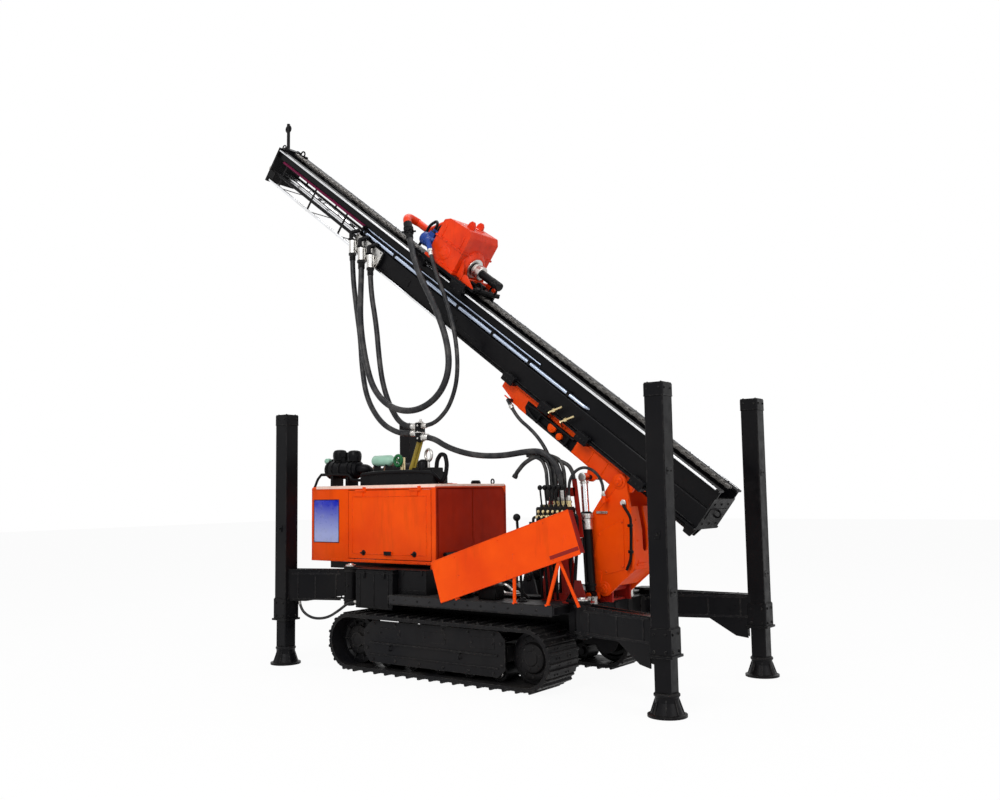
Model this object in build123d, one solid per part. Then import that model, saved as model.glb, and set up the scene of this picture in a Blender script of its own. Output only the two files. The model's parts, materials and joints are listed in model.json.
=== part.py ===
"""Crawler-mounted water well drilling rig with a tilting mast and four drop legs.

Millimetres. +X runs to the drilling end, +Y to the machine's left side, +Z up, ground at Z = 0.
The mast has its own frame: s runs from its foot towards its crown, n stands off its underside.
"""
import math
import os

from build123d import *

# Overall layout
LEG_X = 1907.0            # leg centre, fore and aft
LEG_Y = 840.0             # leg centre, to each side
LEG_TOP = 2250.0
TRACK_HALF_GAUGE = 600.0

# crawler
TRACK_WIDTH = 400.0
TRACK_HEIGHT = 500.0
IDLER_X = -1150.0
SPROCKET_X = 700.0
LINK_DEPTH = 26.0
GROUSER = 20.0
SHOE_COUNT = 42
WHEEL_R = TRACK_HEIGHT / 2 - LINK_DEPTH - GROUSER - 0.3

# chassis
RAIL_Y = 260.0
RAIL_WIDTH = 90.0
RAIL_BOTTOM = 400.0
RAIL_TOP = 600.0
DECK_Z = 660.0
FRONT_CROSS_X = (960.0, 1060.0)
REAR_CROSS_X = (-1240.0, -1150.0)
HOOD_FLOOR = 900.0

# drop legs
FRONT_PIN = (1120.0, 620.0)
REAR_PIN = (-1300.0, 620.0)
LEG_TUBE = 140.0
LEG_WALL = 8.0
INNER_TUBE = 123.4
LEG_SLEEVE_Z = (390.0, 580.0)
FOOT_R = 135.0
FRONT_ARM_Z = (450.0, 676.0)
REAR_ARM_Z = (560.0, 850.0)
PIN_R = 30.0

# engine hood
HOOD_X = (-1930.0, -400.0)
HOOD_HALF_WIDTH = 510.0
HOOD_TOP = 1585.0
HOOD_WALL = 20.0
DOOR_X = (-1440.0, -450.0)
DOOR_Z = (935.0, 1545.0)
DOOR_GAP = 6.0
DOOR_HINGES = (-1300.0, -640.0)
HINGE_OUT = 9.5
HINGE_Z = 1541.0

# boom, mast tilt and their pins
BOOM_PIN = (1050.0, 745.0)
TILT_PIN = (1210.0, 1580.0)
BOOM_HALF_WIDTH = 180.0
BOOM_PLATE = 20.0
BOOM_SLOT_HALF = 42.0
BOOM_SLOT_Z = 1075.0
BOOM_CYL_BASE = (250.0, 800.0)
BOOM_CYL_EYE = (905.0, 1235.0)
TILT_CYL_BASE = (970.0, 700.0)
TILT_CYL_EYE = (930.0, 1620.0)
TILT_CYL_Y = 250.0
TILT_ROD_R = 30.0

# side panel and valve stand
PANEL_Y = -790.0
PANEL_CORNER = (-212.0, 954.0)
PANEL_SLOPE = 17.7
PANEL_LENGTH = 1400.0
PANEL_DEPTH = 342.0
PANEL_STAYS = (((80.0, 860.0), 40.0), ((620.0, 1040.0), 600.0), ((1090.0, 1190.0), 900.0))
VALVE_X = (620.0, 910.0)
VALVE_Z = 1260.0
VALVE_BACK_Z = 1545.0

# mast
MAST_ANGLE = 37.2
MAST_FOOT = (1841.0, 1211.0)
MAST_BOX_LENGTH = 4450.0
MAST_RAIL_LENGTH = 6080.0
MAST_FLANGE_HALF = 214.0
MAST_BOX_HALF = 185.0
MAST_BOX_TOP = 190.0
MAST_RAIL_HALF = 205.0
MAST_TOP = 355.0
CROWN_POST = 280.0
CRADLE_S = (600.0, 2150.0)
CLAMP_S = (4100.0, 4250.0, 4400.0)
CLAMP_Y = 264.0
CLAMP_N = 45.0
HEAD_S = (3190.0, 3560.0)
SPINDLE_N = 540.0
SPINDLE_R = 38.0
SPINDLE_END = 2790.0
FEED_N = 110.0
SLIDE_N = -80.0
SLIDE_ROD_R = 20.0
SLIDE_EYE_S = 92.0

# where the hoses leave the pieces they serve
AIR_HOSE_EXIT = (-945.0, -215.0, 3945.0)
OIL_HOSE_EXIT = (-640.0, -270.0, 3715.0)
AIR_HOSE_WAY = Vector(70, -50, -155)
OIL_HOSE_WAY = Vector(70, -30, -185)
MOTOR_N = 522.0
CRADLE_PORT = (225.0, -248.0, 2235.0)
CRADLE_UNION = (165.0, -205.0, 2290.0)
BOOM_PORT = (1100.0, -240.0, 1470.0)


def mast_plane():
    """The mast's frame: x = s towards the crown, y = towards the machine's right, z = n."""
    a = math.radians(MAST_ANGLE)
    return Plane(
        origin=(MAST_FOOT[0], 0, MAST_FOOT[1]),
        x_dir=(-math.cos(a), 0, math.sin(a)),
        z_dir=(math.sin(a), 0, math.cos(a)),
    )


def mast_point(s, y, n):
    """Machine coordinates of a point given along the mast; y is the machine's own Y."""
    a = math.radians(MAST_ANGLE)
    return (
        MAST_FOOT[0] - s * math.cos(a) + n * math.sin(a),
        y,
        MAST_FOOT[1] + s * math.sin(a) + n * math.cos(a),
    )


def mast_coordinates(x, z):
    """The s and n of a point given in machine X and Z."""
    a = math.radians(MAST_ANGLE)
    dx = x - MAST_FOOT[0]
    dz = z - MAST_FOOT[1]
    return (-dx * math.cos(a) + dz * math.sin(a), dx * math.sin(a) + dz * math.cos(a))


def on_mast(shape):
    return mast_plane().location * shape


# Small helpers
def block(x, y, z):
    """A rectangular bar between the pairs x, y and z."""
    size = (x[1] - x[0], y[1] - y[0], z[1] - z[0])
    centre = ((x[0] + x[1]) / 2, (y[0] + y[1]) / 2, (z[0] + z[1]) / 2)
    return Pos(*centre) * Box(*size)


def bar(start, end, radius):
    """A round bar between two points."""
    a = Vector(*start)
    b = Vector(*end)
    axis = b - a
    plane = Plane(origin=a, z_dir=axis)
    return plane.location * Cylinder(radius, axis.length, align=(Align.CENTER, Align.CENTER, Align.MIN))


def side_plate(outline, y, thickness, radius=0.0):
    """A plate cut to an X-Z outline, from y to y + thickness."""
    face = make_face(Polyline(*[(p[0], p[1]) for p in outline], close=True))
    if radius:
        face = fillet(face.vertices(), radius)
    solid = extrude(face, thickness)
    return Plane(origin=(0, y + thickness, 0), x_dir=(1, 0, 0), z_dir=(0, -1, 0)).location * solid


def convex(points):
    """The convex outline of a set of points, in order."""
    points = sorted(set((round(p[0], 4), round(p[1], 4)) for p in points))

    def half(seq):
        chain = []
        for p in seq:
            while len(chain) > 1:
                (ax, ay), (bx, by) = chain[-2], chain[-1]
                if (bx - ax) * (p[1] - ay) - (by - ay) * (p[0] - ax) > 1e-6:
                    break
                chain.pop()
            chain.append(p)
        return chain

    lower = half(points)
    upper = half(reversed(points))
    return lower[:-1] + upper[:-1]


def square_tube(outer, wall, z, radius=12.0):
    profile = RectangleRounded(outer, outer, radius) - RectangleRounded(
        outer - 2 * wall, outer - 2 * wall, radius - wall / 2
    )
    return Pos(0, 0, z[0]) * extrude(profile, z[1] - z[0])


def box_tube(x, y, z, wall, along):
    """A rectangular tube, open at both ends along one axis."""
    outer = block(x, y, z)
    inner = {"x": x, "y": y, "z": z}
    for name in inner:
        low, high = inner[name]
        inner[name] = (low - 1, high + 1) if name == along else (low + wall, high - wall)
    return outer - block(inner["x"], inner["y"], inner["z"])


def mirrored(shape):
    return mirror(shape, about=Plane.XZ)


# Crawler
def track_loop():
    """One crawler belt: a closed loop with a raised bar on each shoe."""
    r_out = TRACK_HEIGHT / 2
    r_link = r_out - GROUSER
    r_in = r_link - LINK_DEPTH
    span = SPROCKET_X - IDLER_X
    middle = (SPROCKET_X + IDLER_X) / 2
    belt = SlotCenterToCenter(span, 2 * r_link) - SlotCenterToCenter(span, 2 * r_in)
    length = 2 * span + 2 * math.pi * r_link
    bars = []
    for k in range(SHOE_COUNT):
        d = (k + 0.5) * length / SHOE_COUNT
        if d < span:
            x, z, turn = d - span / 2, -r_link, 180
        elif d < span + math.pi * r_link:
            t = (d - span) / r_link
            x, z, turn = span / 2 + r_link * math.sin(t), -r_link * math.cos(t), 180 + math.degrees(t)
        elif d < 2 * span + math.pi * r_link:
            x, z, turn = span / 2 - (d - span - math.pi * r_link), r_link, 0
        else:
            t = (d - 2 * span - math.pi * r_link) / r_link
            x, z, turn = -span / 2 - r_link * math.sin(t), r_link * math.cos(t), math.degrees(t)
        shoe = Trapezoid(34, GROUSER + 6, 72, align=(Align.CENTER, Align.MIN))
        bars.append(Pos(x, z) * Rot(0, 0, turn) * Pos(0, -6) * shoe)
    outline = belt + bars
    solid = extrude(outline, TRACK_WIDTH)
    place = Plane(
        origin=(middle, -TRACK_HALF_GAUGE + TRACK_WIDTH / 2, TRACK_HEIGHT / 2), x_dir=(1, 0, 0),
        z_dir=(0, -1, 0)
    )
    return place.location * solid


def wheel(x, z, r, y, hub_r, hub_y, dish=0.0):
    """A flanged crawler wheel about a cross axis, as a turned profile."""
    w = (y[1] - y[0]) / 2
    c = (y[0] + y[1]) / 2
    h = (hub_y[0] - c, hub_y[1] - c)
    pts = [
        (0, h[0]), (hub_r, h[0]), (hub_r, -w + dish), (r * 0.72, -w + dish), (r * 0.8, -w), (r - 4, -w),
        (r, -w + 4)
    ]
    pts += [
        (r, w - 4), (r - 4, w), (r * 0.8, w), (r * 0.72, w - dish), (hub_r, w - dish), (hub_r, h[1]),
        (0, h[1])
    ]
    face = make_face(Polyline(*pts, close=True))
    solid = revolve(face, Axis.Y)
    return Pos(x, c, z) * solid


def track_wheels():
    mid = TRACK_HEIGHT / 2
    inner = LINK_DEPTH + GROUSER
    side = -TRACK_HALF_GAUGE
    solids = [
        wheel(IDLER_X, mid, WHEEL_R, (side - 65, side + 65), 52, (side - 72, side + 72), 14),
        wheel(SPROCKET_X, mid, WHEEL_R, (side - 45, side + 45), 120, (side - 60, side + 118), 10),
    ]
    for x in (-800, -500, -200, 100, 400):
        solids.append(wheel(x, inner + 70.3, 70, (side - 95, side + 95), 34, (side - 140, side + 110), 8))
    for x in (-650, 150):
        solids.append(
            wheel(
                x, TRACK_HEIGHT - inner - 50.3, 50, (side - 60, side + 60), 26, (side - 140, side + 70), 6
            )
        )
    return solids


def track_frame():
    """The roller frame inside the belt, with the idler fork and the outer guard plate."""
    side = -TRACK_HALF_GAUGE
    mid = TRACK_HEIGHT / 2
    beam = box_tube((-930, 480), (side - 40, side + 40), (mid - 45, mid + 75), 12, "x")
    fork = [
        block((IDLER_X, -930), (side + s * 88 - 10, side + s * 88 + 10), (mid - 35, mid + 35)) for s in (-1, 1)
    ]
    fork += [bar((IDLER_X, side + s * 78, mid), (IDLER_X, side + s * 98, mid), 62) for s in (-1, 1)]
    bridge = block((-935, -900), (side - 98, side + 98), (mid - 35, mid + 35))
    tip = block((440, 480), (side - 98, side + 98), (mid - 45, mid + 75))
    motor = bar((SPROCKET_X, side + 119, mid), (SPROCKET_X, side + 172, mid), 118)
    motor_arm = block((440, SPROCKET_X), (side + 119, side + 139), (mid - 60, mid + 60))
    tip_inner = block((440, 480), (side + 40, side + 139), (mid - 45, mid + 60))
    guard_outline = [
        (-1000, mid - 70), (-930, mid - 158), (430, mid - 158), (500, mid - 100),
        (500, mid + 130), (440, mid + 190), (-900, mid + 190), (-1000, mid + 110),
    ]
    guard = side_plate(guard_outline, side - 160, 12, 18)
    stays = [bar((x, side - 150, mid + 15), (x, side - 38, mid + 15), 24) for x in (-850, -350, 350)]
    rim = side_plate([(-930, mid), (430, mid), (430, mid + 12), (-930, mid + 12)], side - 170, 12)
    frame = beam + fork + bridge + tip + motor + motor_arm + tip_inner + stays + guard + rim
    return frame


# Chassis
def main_frame():
    rails = []
    for s in (-1, 1):
        y = (s * RAIL_Y - RAIL_WIDTH / 2, s * RAIL_Y + RAIL_WIDTH / 2)
        rails.append(box_tube((REAR_CROSS_X[0], FRONT_CROSS_X[1]), y, (RAIL_BOTTOM, RAIL_TOP), 10, "x"))
        rails.append(box_tube((HOOD_X[0] + 40, HOOD_X[1] - 20), y, (HOOD_FLOOR - 80, HOOD_FLOOR), 8, "x"))
        rails.append(block((-500, -420), y, (RAIL_TOP - 5, HOOD_FLOOR - 75)))
    carriers = []
    reach = TRACK_HALF_GAUGE - 40
    for x in (-620, 280):
        tube = box_tube((x - 70, x + 70), (-reach, reach), (205, 325), 12, "y")
        saddle = [
            side_plate([(x - 110, 402), (x + 110, 402), (x + 70, 315), (x - 70, 315)], s * RAIL_Y - 45, 90)
            for s in (-1, 1)
        ]
        carriers.append(tube)
        carriers += saddle
    front = box_tube(FRONT_CROSS_X, (-560, 560), (RAIL_BOTTOM + 50, 640), 12, "y")
    rear = box_tube(REAR_CROSS_X, (-560, 560), (520, HOOD_FLOOR - 80), 12, "y")
    lugs = []
    for s in (-1, 1):
        lugs += pin_lugs(FRONT_PIN, s, FRONT_CROSS_X, FRONT_ARM_Z)
        lugs += pin_lugs(REAR_PIN, s, REAR_CROSS_X, REAR_ARM_Z)
    return Part() + rails + carriers + front + rear + lugs


def pin_lugs(pin, side, cross_x, z):
    """Upper and lower ear with the upright pin that carries one outrigger arm."""
    px, py = pin[0], side * pin[1]
    near = cross_x[1] if px > 0 else cross_x[0]
    far = cross_x[0] if px > 0 else cross_x[1]
    ears = []
    gap = 3.0
    for low in (z[0] - gap - 18, z[1] + gap):
        outline = convex(
            [
                (px + 62 * math.cos(math.radians(t)), py + 62 * math.sin(math.radians(t)))
                for t in range(0, 360, 10)
            ]
            + [(far, side * 470), (far, side * 600), (near, side * 470), (near, side * 640)]
        )
        face = make_face(Polyline(*outline, close=True))
        ears.append(Pos(0, 0, low) * extrude(face, 18))
    pin_bar = Pos(px, py, z[0] - gap - 30) * Cylinder(
        PIN_R, z[1] - z[0] + 2 * gap + 60, align=(Align.CENTER, Align.CENTER, Align.MIN)
    )
    x = sorted((near, far))
    web = block(x, sorted((side * 548, side * 560)), (z[0] - gap - 1, z[1] + gap + 1))
    return ears + [pin_bar, web]


def fender(x):
    """Right-hand walkway over the track: a folded plate."""
    outline = [
        (-306, DECK_Z), (-780, DECK_Z), (-780, DECK_Z - 70), (-772, DECK_Z - 70), (-772, DECK_Z - 8),
        (-314, DECK_Z - 8), (-314, 540), (-306, 540)
    ]
    face = Plane.YZ * make_face(Polyline(*outline, close=True))
    plate = Pos(x[0], 0, 0) * extrude(face, x[1] - x[0])
    ribs = [
        block((rx, rx + 8), (-772, -314), (DECK_Z - 68, DECK_Z - 8))
        for rx in (x[0] + 60, x[0] + 620, x[1] - 120)
    ]
    return plate + ribs


def front_deck():
    plate = block((-400, 955), (-214, 214), (RAIL_TOP, RAIL_TOP + 10))
    edge = block((-400, -392), (-214, 214), (RAIL_TOP, DECK_Z))
    ears = [
        side_plate([(150, 608), (350, 608), (290, 830), (250, 850), (210, 830)], s * 62 - 8, 16, 12)
        for s in (-1, 1)
    ]
    pin = bar((BOOM_CYL_BASE[0], -82, BOOM_CYL_BASE[1]), (BOOM_CYL_BASE[0], 82, BOOM_CYL_BASE[1]), 22)
    return plate + edge + ears + pin


def boom_bracket():
    """Ears on the front cross member that carry the boom's foot pin."""
    px, pz = BOOM_PIN
    ears = []
    for s in (-1, 1):
        outline = convex(
            [
                (px + 56 * math.cos(math.radians(t)), pz + 56 * math.sin(math.radians(t)))
                for t in range(0, 360, 10)
            ] + [(965, 640), (1104, 640)]
        )
        ears.append(side_plate(outline, s * 140 - 12, 24))
        web = side_plate(
            [(720, 610), (960, 610), (960, 640), (970, 640), (970, 760), (940, 760)], s * 140 - 8, 16
        )
        ears.append(web)
    foot = block((965, 1058), (-152, 152), (640, 654))
    pin = bar((px, -186, pz), (px, 186, pz), PIN_R)
    return foot + ears + pin


# Drop legs
def outrigger(pin, leg, z):
    """Swinging arm with its hub on the frame pin and the square leg tube at its end."""
    px, py = pin
    lx, ly = leg
    angle = math.degrees(math.atan2(ly - py, lx - px))
    reach = math.hypot(lx - px, ly - py)
    hub = Cylinder(60, z[1] - z[0], align=(Align.CENTER, Align.CENTER, Align.MIN))
    hub = Pos(0, 0, z[0]) * hub
    end = reach - LEG_TUBE / 2
    top = z[1] - 4
    if px > 0:
        side = [
            (30, z[0] + 4), (30, top), (end + 20, top - 20), (end + 20, z[0] - 56), (end - 22, z[0] - 76),
            (end - 22, z[0] - 146), (end - 120, z[0] - 130), (end - 330, z[0] + 4),
        ]
    else:
        side = [(30, z[0] + 60), (30, top), (end + 20, top), (end + 20, z[0] + 4), (end - 160, z[0] + 4)]
    plates = [side_plate(side, s * 49 - 6, 12) for s in (-1, 1)]
    cap = block((30, end + 20), (-50, 50), (top - 32, top - 20))
    low = block((30, end + 20), (-50, 50), (z[0] + 64, z[0] + 76))
    arm = hub + plates + cap + low
    arm = arm - Cylinder(PIN_R + 0.05, 3000)
    arm = Pos(px, py, 0) * Rot(0, 0, angle) * arm
    bore = Pos(lx, ly, 0) * block(
        (-LEG_TUBE / 2 + LEG_WALL, LEG_TUBE / 2 - LEG_WALL),
        (-LEG_TUBE / 2 + LEG_WALL, LEG_TUBE / 2 - LEG_WALL), (0, 3000)
    )
    tube = square_tube(LEG_TUBE, LEG_WALL, (LEG_SLEEVE_Z[0], LEG_TOP - 8))
    sleeve = square_tube(LEG_TUBE + 22, 11, LEG_SLEEVE_Z)
    lip = square_tube(LEG_TUBE + 44, 22, (LEG_SLEEVE_Z[0], LEG_SLEEVE_Z[0] + 16))
    cap_plate = Pos(0, 0, LEG_TOP - 8) * extrude(RectangleRounded(LEG_TUBE + 6, LEG_TUBE + 6, 12), 8)
    top_band = square_tube(LEG_TUBE + 12, 6, (LEG_TOP - 90, LEG_TOP - 8))
    leg_tube = Pos(lx, ly, 0) * (tube + sleeve + lip + top_band)
    return (arm - bore) + leg_tube + Pos(lx, ly, 0) * cap_plate


def drop_leg(leg):
    """The sliding inner tube with its round flared foot."""
    tube = square_tube(INNER_TUBE, 8, (96, 2000), 10)
    profile = [(0, 0), (FOOT_R, 0), (FOOT_R, 16), (112, 22), (84, 96), (80, 150), (0, 150)]
    foot = revolve(Plane.XZ * make_face(Polyline(*profile, close=True)), Axis.Z)
    return Pos(*leg, 0) * (foot + tube)


# Engine hood and boxes
def engine_hood():
    """Open-bottomed sheet housing with a rounded top edge and a door opening on each side."""
    length = HOOD_X[1] - HOOD_X[0]
    middle = (HOOD_X[0] + HOOD_X[1]) / 2
    height = HOOD_TOP - HOOD_FLOOR
    shell = Pos(middle, 0, HOOD_FLOOR + height / 2) * Box(length, 2 * HOOD_HALF_WIDTH, height)
    shell = fillet(shell.edges().filter_by(Axis.X).sort_by(Axis.Z)[-2:], 22)
    inside = block(
        (HOOD_X[0] + HOOD_WALL, HOOD_X[1] - HOOD_WALL),
        (-HOOD_HALF_WIDTH + HOOD_WALL, HOOD_HALF_WIDTH - HOOD_WALL),
        (HOOD_FLOOR - 1, HOOD_TOP - HOOD_WALL)
    )
    opening = block(
        (DOOR_X[0] - DOOR_GAP, DOOR_X[1] + DOOR_GAP), (-HOOD_HALF_WIDTH - 90, HOOD_HALF_WIDTH + 90),
        (DOOR_Z[0] - DOOR_GAP, DOOR_Z[1] + DOOR_GAP)
    )
    ledges = [
        block(
            (HOOD_X[0] + HOOD_WALL, HOOD_X[1] - HOOD_WALL),
            sorted((s * 290, s * (HOOD_HALF_WIDTH - HOOD_WALL))), (HOOD_FLOOR, HOOD_FLOOR + 12)
        )
        for s in (-1, 1)
    ]
    louvres = [
        block((HOOD_X[0] - 5, HOOD_X[0] + 40), (-360, 360), (z, z + 26)) for z in range(1040, 1461, 60)
    ]
    leaves = []
    for s in (-1, 1):
        for x in DOOR_HINGES:
            y = s * (HOOD_HALF_WIDTH + HINGE_OUT)
            leaves.append(bar((x + 45.3, y, HINGE_Z), (x + 80, y, HINGE_Z), 9))
            leaves.append(
                block((x + 45.3, x + 80), sorted((s * HOOD_HALF_WIDTH, y)), (HINGE_Z + 10, HINGE_Z + 34))
            )
            leaves.append(
                block((x + 45.3, x + 80), sorted((s * (HOOD_HALF_WIDTH + 1), y)), (HINGE_Z, HINGE_Z + 12))
            )
    return shell - inside - opening + ledges + leaves - louvres


def hood_door():
    panel = block(DOOR_X, (-HOOD_HALF_WIDTH, -HOOD_HALF_WIDTH + HOOD_WALL), DOOR_Z)
    panel = fillet(panel.edges().filter_by(Axis.Y), 10)
    y = -HOOD_HALF_WIDTH - HINGE_OUT
    hinges = [bar((x - 45, y, HINGE_Z), (x + 45, y, HINGE_Z), 9) for x in DOOR_HINGES]
    hinges += [
        block((x - 45, x + 45), (y, -HOOD_HALF_WIDTH + 1), (HINGE_Z - 50, HINGE_Z)) for x in DOOR_HINGES
    ]
    handle = block(
        (-985, -905), (-HOOD_HALF_WIDTH - 14, -HOOD_HALF_WIDTH + 1), (DOOR_Z[0] + 40, DOOR_Z[0] + 66)
    )
    return panel + hinges + handle


def engine():
    body = block((-1180, -600), (-250, 250), (HOOD_FLOOR, 1420))
    return chamfer(body.edges().filter_by(Axis.X).sort_by(Axis.Z)[-2:], 60)


def turned(profile, start, axis=(1, 0, 0)):
    """A turned piece: profile pairs are (distance along the axis, radius)."""
    points = [(d, 0) for d in (profile[0][0],)] + list(profile) + [(profile[-1][0], 0)]
    solid = revolve(make_face(Polyline(*points, close=True)), Axis.X)
    return Plane(origin=start, x_dir=axis, z_dir=(0, -1, 0) if axis[1] == 0 else (1, 0, 0)).location * solid


def air_cleaner():
    """Round intake canister on two saddles, with its rain cap."""
    profile = [
        (0, 60), (14, 80), (90, 82), (90, 88), (114, 88), (114, 82), (288, 82), (288, 88), (312, 88),
        (312, 82), (386, 80), (400, 60)
    ]
    canister = turned(profile, (-1840, -370, 1745))
    legs = [block((x - 16, x + 16), (-438, -302), (HOOD_TOP, 1700)) for x in (-1738, -1540)]
    inlet = bar((-1640, -370, 1800), (-1640, -370, 1870), 38)
    cap = bar((-1640, -370, 1866), (-1640, -370, 1905), 62)
    return canister + legs + inlet + cap


def exhaust():
    """Silencer drum on the far side of the hood's roof, with its tail pipe."""
    profile = [(0, 30), (90, 30), (90, 56), (104, 72), (576, 72), (590, 56)]
    drum = turned(profile, (-1890, 380, 1745))
    pipe = bar((-1500, 380, HOOD_TOP), (-1500, 380, 1720), 38)
    return pipe + drum


def hood_rack():
    """Low tray and the upright that carries the hose bundle, on the hood's near edge."""
    tray = block((-1330, -460), (-470, -270), (HOOD_TOP, HOOD_TOP + 110)) - block(
        (-1322, -468), (-462, -278), (HOOD_TOP + 8, HOOD_TOP + 111)
    )
    post = bar((-785, -440, HOOD_TOP + 20), (-620, -440, 2000), 15)
    foot = bar((-785, -440, HOOD_TOP + 4), (-785, -440, HOOD_TOP + 60), 26)
    clamp = block((-640, -600), (-492, -404), (1964, 2128))
    clamp = fillet(clamp.edges().filter_by(Axis.X), 14)
    return tray + post + foot + clamp


def side_box():
    """Steel box over the track on the machine's right, with a lid line."""
    body = block((-1138, -705), (-720, -305), (530, 862))
    body = fillet(body.edges().filter_by(Axis.X).sort_by(Axis.Z)[-2:], 12)
    cavity = block((-1130, -713), (-712, -313), (538, 853))
    lid = block((-1144, -699), (-726, -305), (828, 836))
    box = (body + lid) - cavity
    small = block((-690, -380), (-660, -330), (DECK_Z, 862))
    small = fillet(small.edges().filter_by(Axis.X).sort_by(Axis.Z)[-2:], 12)
    return [box, small]


# Side panel and valves
def side_panel():
    """Slanted flat guard plate with a folded lower end, on three stays."""
    slope = math.radians(PANEL_SLOPE)
    x_dir = (math.cos(slope), 0, math.sin(slope))
    place = Plane(origin=(PANEL_CORNER[0], PANEL_Y, PANEL_CORNER[1]), x_dir=x_dir, z_dir=(0, -1, 0)).location
    plate = extrude(
        Pos(PANEL_LENGTH / 2, -PANEL_DEPTH / 2) * RectangleRounded(PANEL_LENGTH, PANEL_DEPTH, 10), 5
    )
    fold = Pos(PANEL_LENGTH - 5, -PANEL_DEPTH / 2, -22) * Box(10, PANEL_DEPTH - 20, 54)
    hem = [Pos(PANEL_LENGTH / 2, y, -3) * Box(PANEL_LENGTH - 20, 5, 10) for y in (-8, -PANEL_DEPTH + 8)]
    panel = place * (plate + fold + hem)
    stays = []
    for top, foot in PANEL_STAYS:
        stays.append(bar((foot, PANEL_Y + 30, DECK_Z), (top[0], PANEL_Y + 4, top[1]), 14))
        stays.append(bar((foot, PANEL_Y + 30, DECK_Z), (foot, PANEL_Y + 30, DECK_Z + 12), 22))
    cut = block((-2000, 2000), (-900, 0), (500, DECK_Z))
    return panel + [s - cut for s in stays]


def valve_stand():
    """Red A-shaped plates that carry the valve bank."""
    x0, x1 = VALVE_X
    z1 = VALVE_Z
    front = [(x0, DECK_Z), (x1, DECK_Z), (x1 - 20, 800), (x1 - 60, z1), (x0 + 90, z1), (x0 + 20, 800)]
    z2 = VALVE_BACK_Z
    back = [(x0, DECK_Z), (x1, DECK_Z), (x1 - 20, 800), (x1 - 82, z2), (x0 + 120, z2), (x0 + 20, 800)]
    hole = [(x0 + 90, 720), (x1 - 90, 720), (x1 - 110, z1 - 160), (x0 + 120, z1 - 160)]
    plates = []
    for outline, y in ((front, -425), (back, -345)):
        plates.append(side_plate(outline, y - 6, 12, 14) - side_plate(hole, y - 10, 20, 12))
    table = block((x0, x1 + 20), (-560, -330), (z1 - 2, z1 + 10))
    tie = block((x0 + 10, x1 - 10), (-431, -339), (DECK_Z, DECK_Z + 10))
    return Part() + plates + table + tie


def valve_bank():
    x0 = VALVE_X[0] + 20
    z0 = VALVE_Z + 10
    body = block((x0, x0 + 270), (-500, -370), (z0, z0 + 120))
    sections = [block((x0 + 45 * k, x0 + 5 + 45 * k), (-508, -362), (z0 + 8, z0 + 112)) for k in range(7)]
    levers = [
        bar((x0 + 22 + 45 * k, -455, z0 + 110), (x0 + 22 + 45 * k, -480, z0 + 270), 7) for k in range(6)
    ]
    knobs = [Pos(x0 + 22 + 45 * k, -480.5, z0 + 272) * Sphere(18) for k in range(6)]
    ports = [bar((x0 + 22 + 45 * k, -372, z0 + 60), (x0 + 22 + 45 * k, -353, z0 + 60), 15) for k in range(6)]
    unions = [bar((x, -400, z0 + 119), (x, -400, 1440), 17) for x in (760, 880)]
    unions.append(bar((820, -400, z0 + 119), (820, -400, 1440), 26))
    return body + sections + levers + knobs + ports + unions


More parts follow.
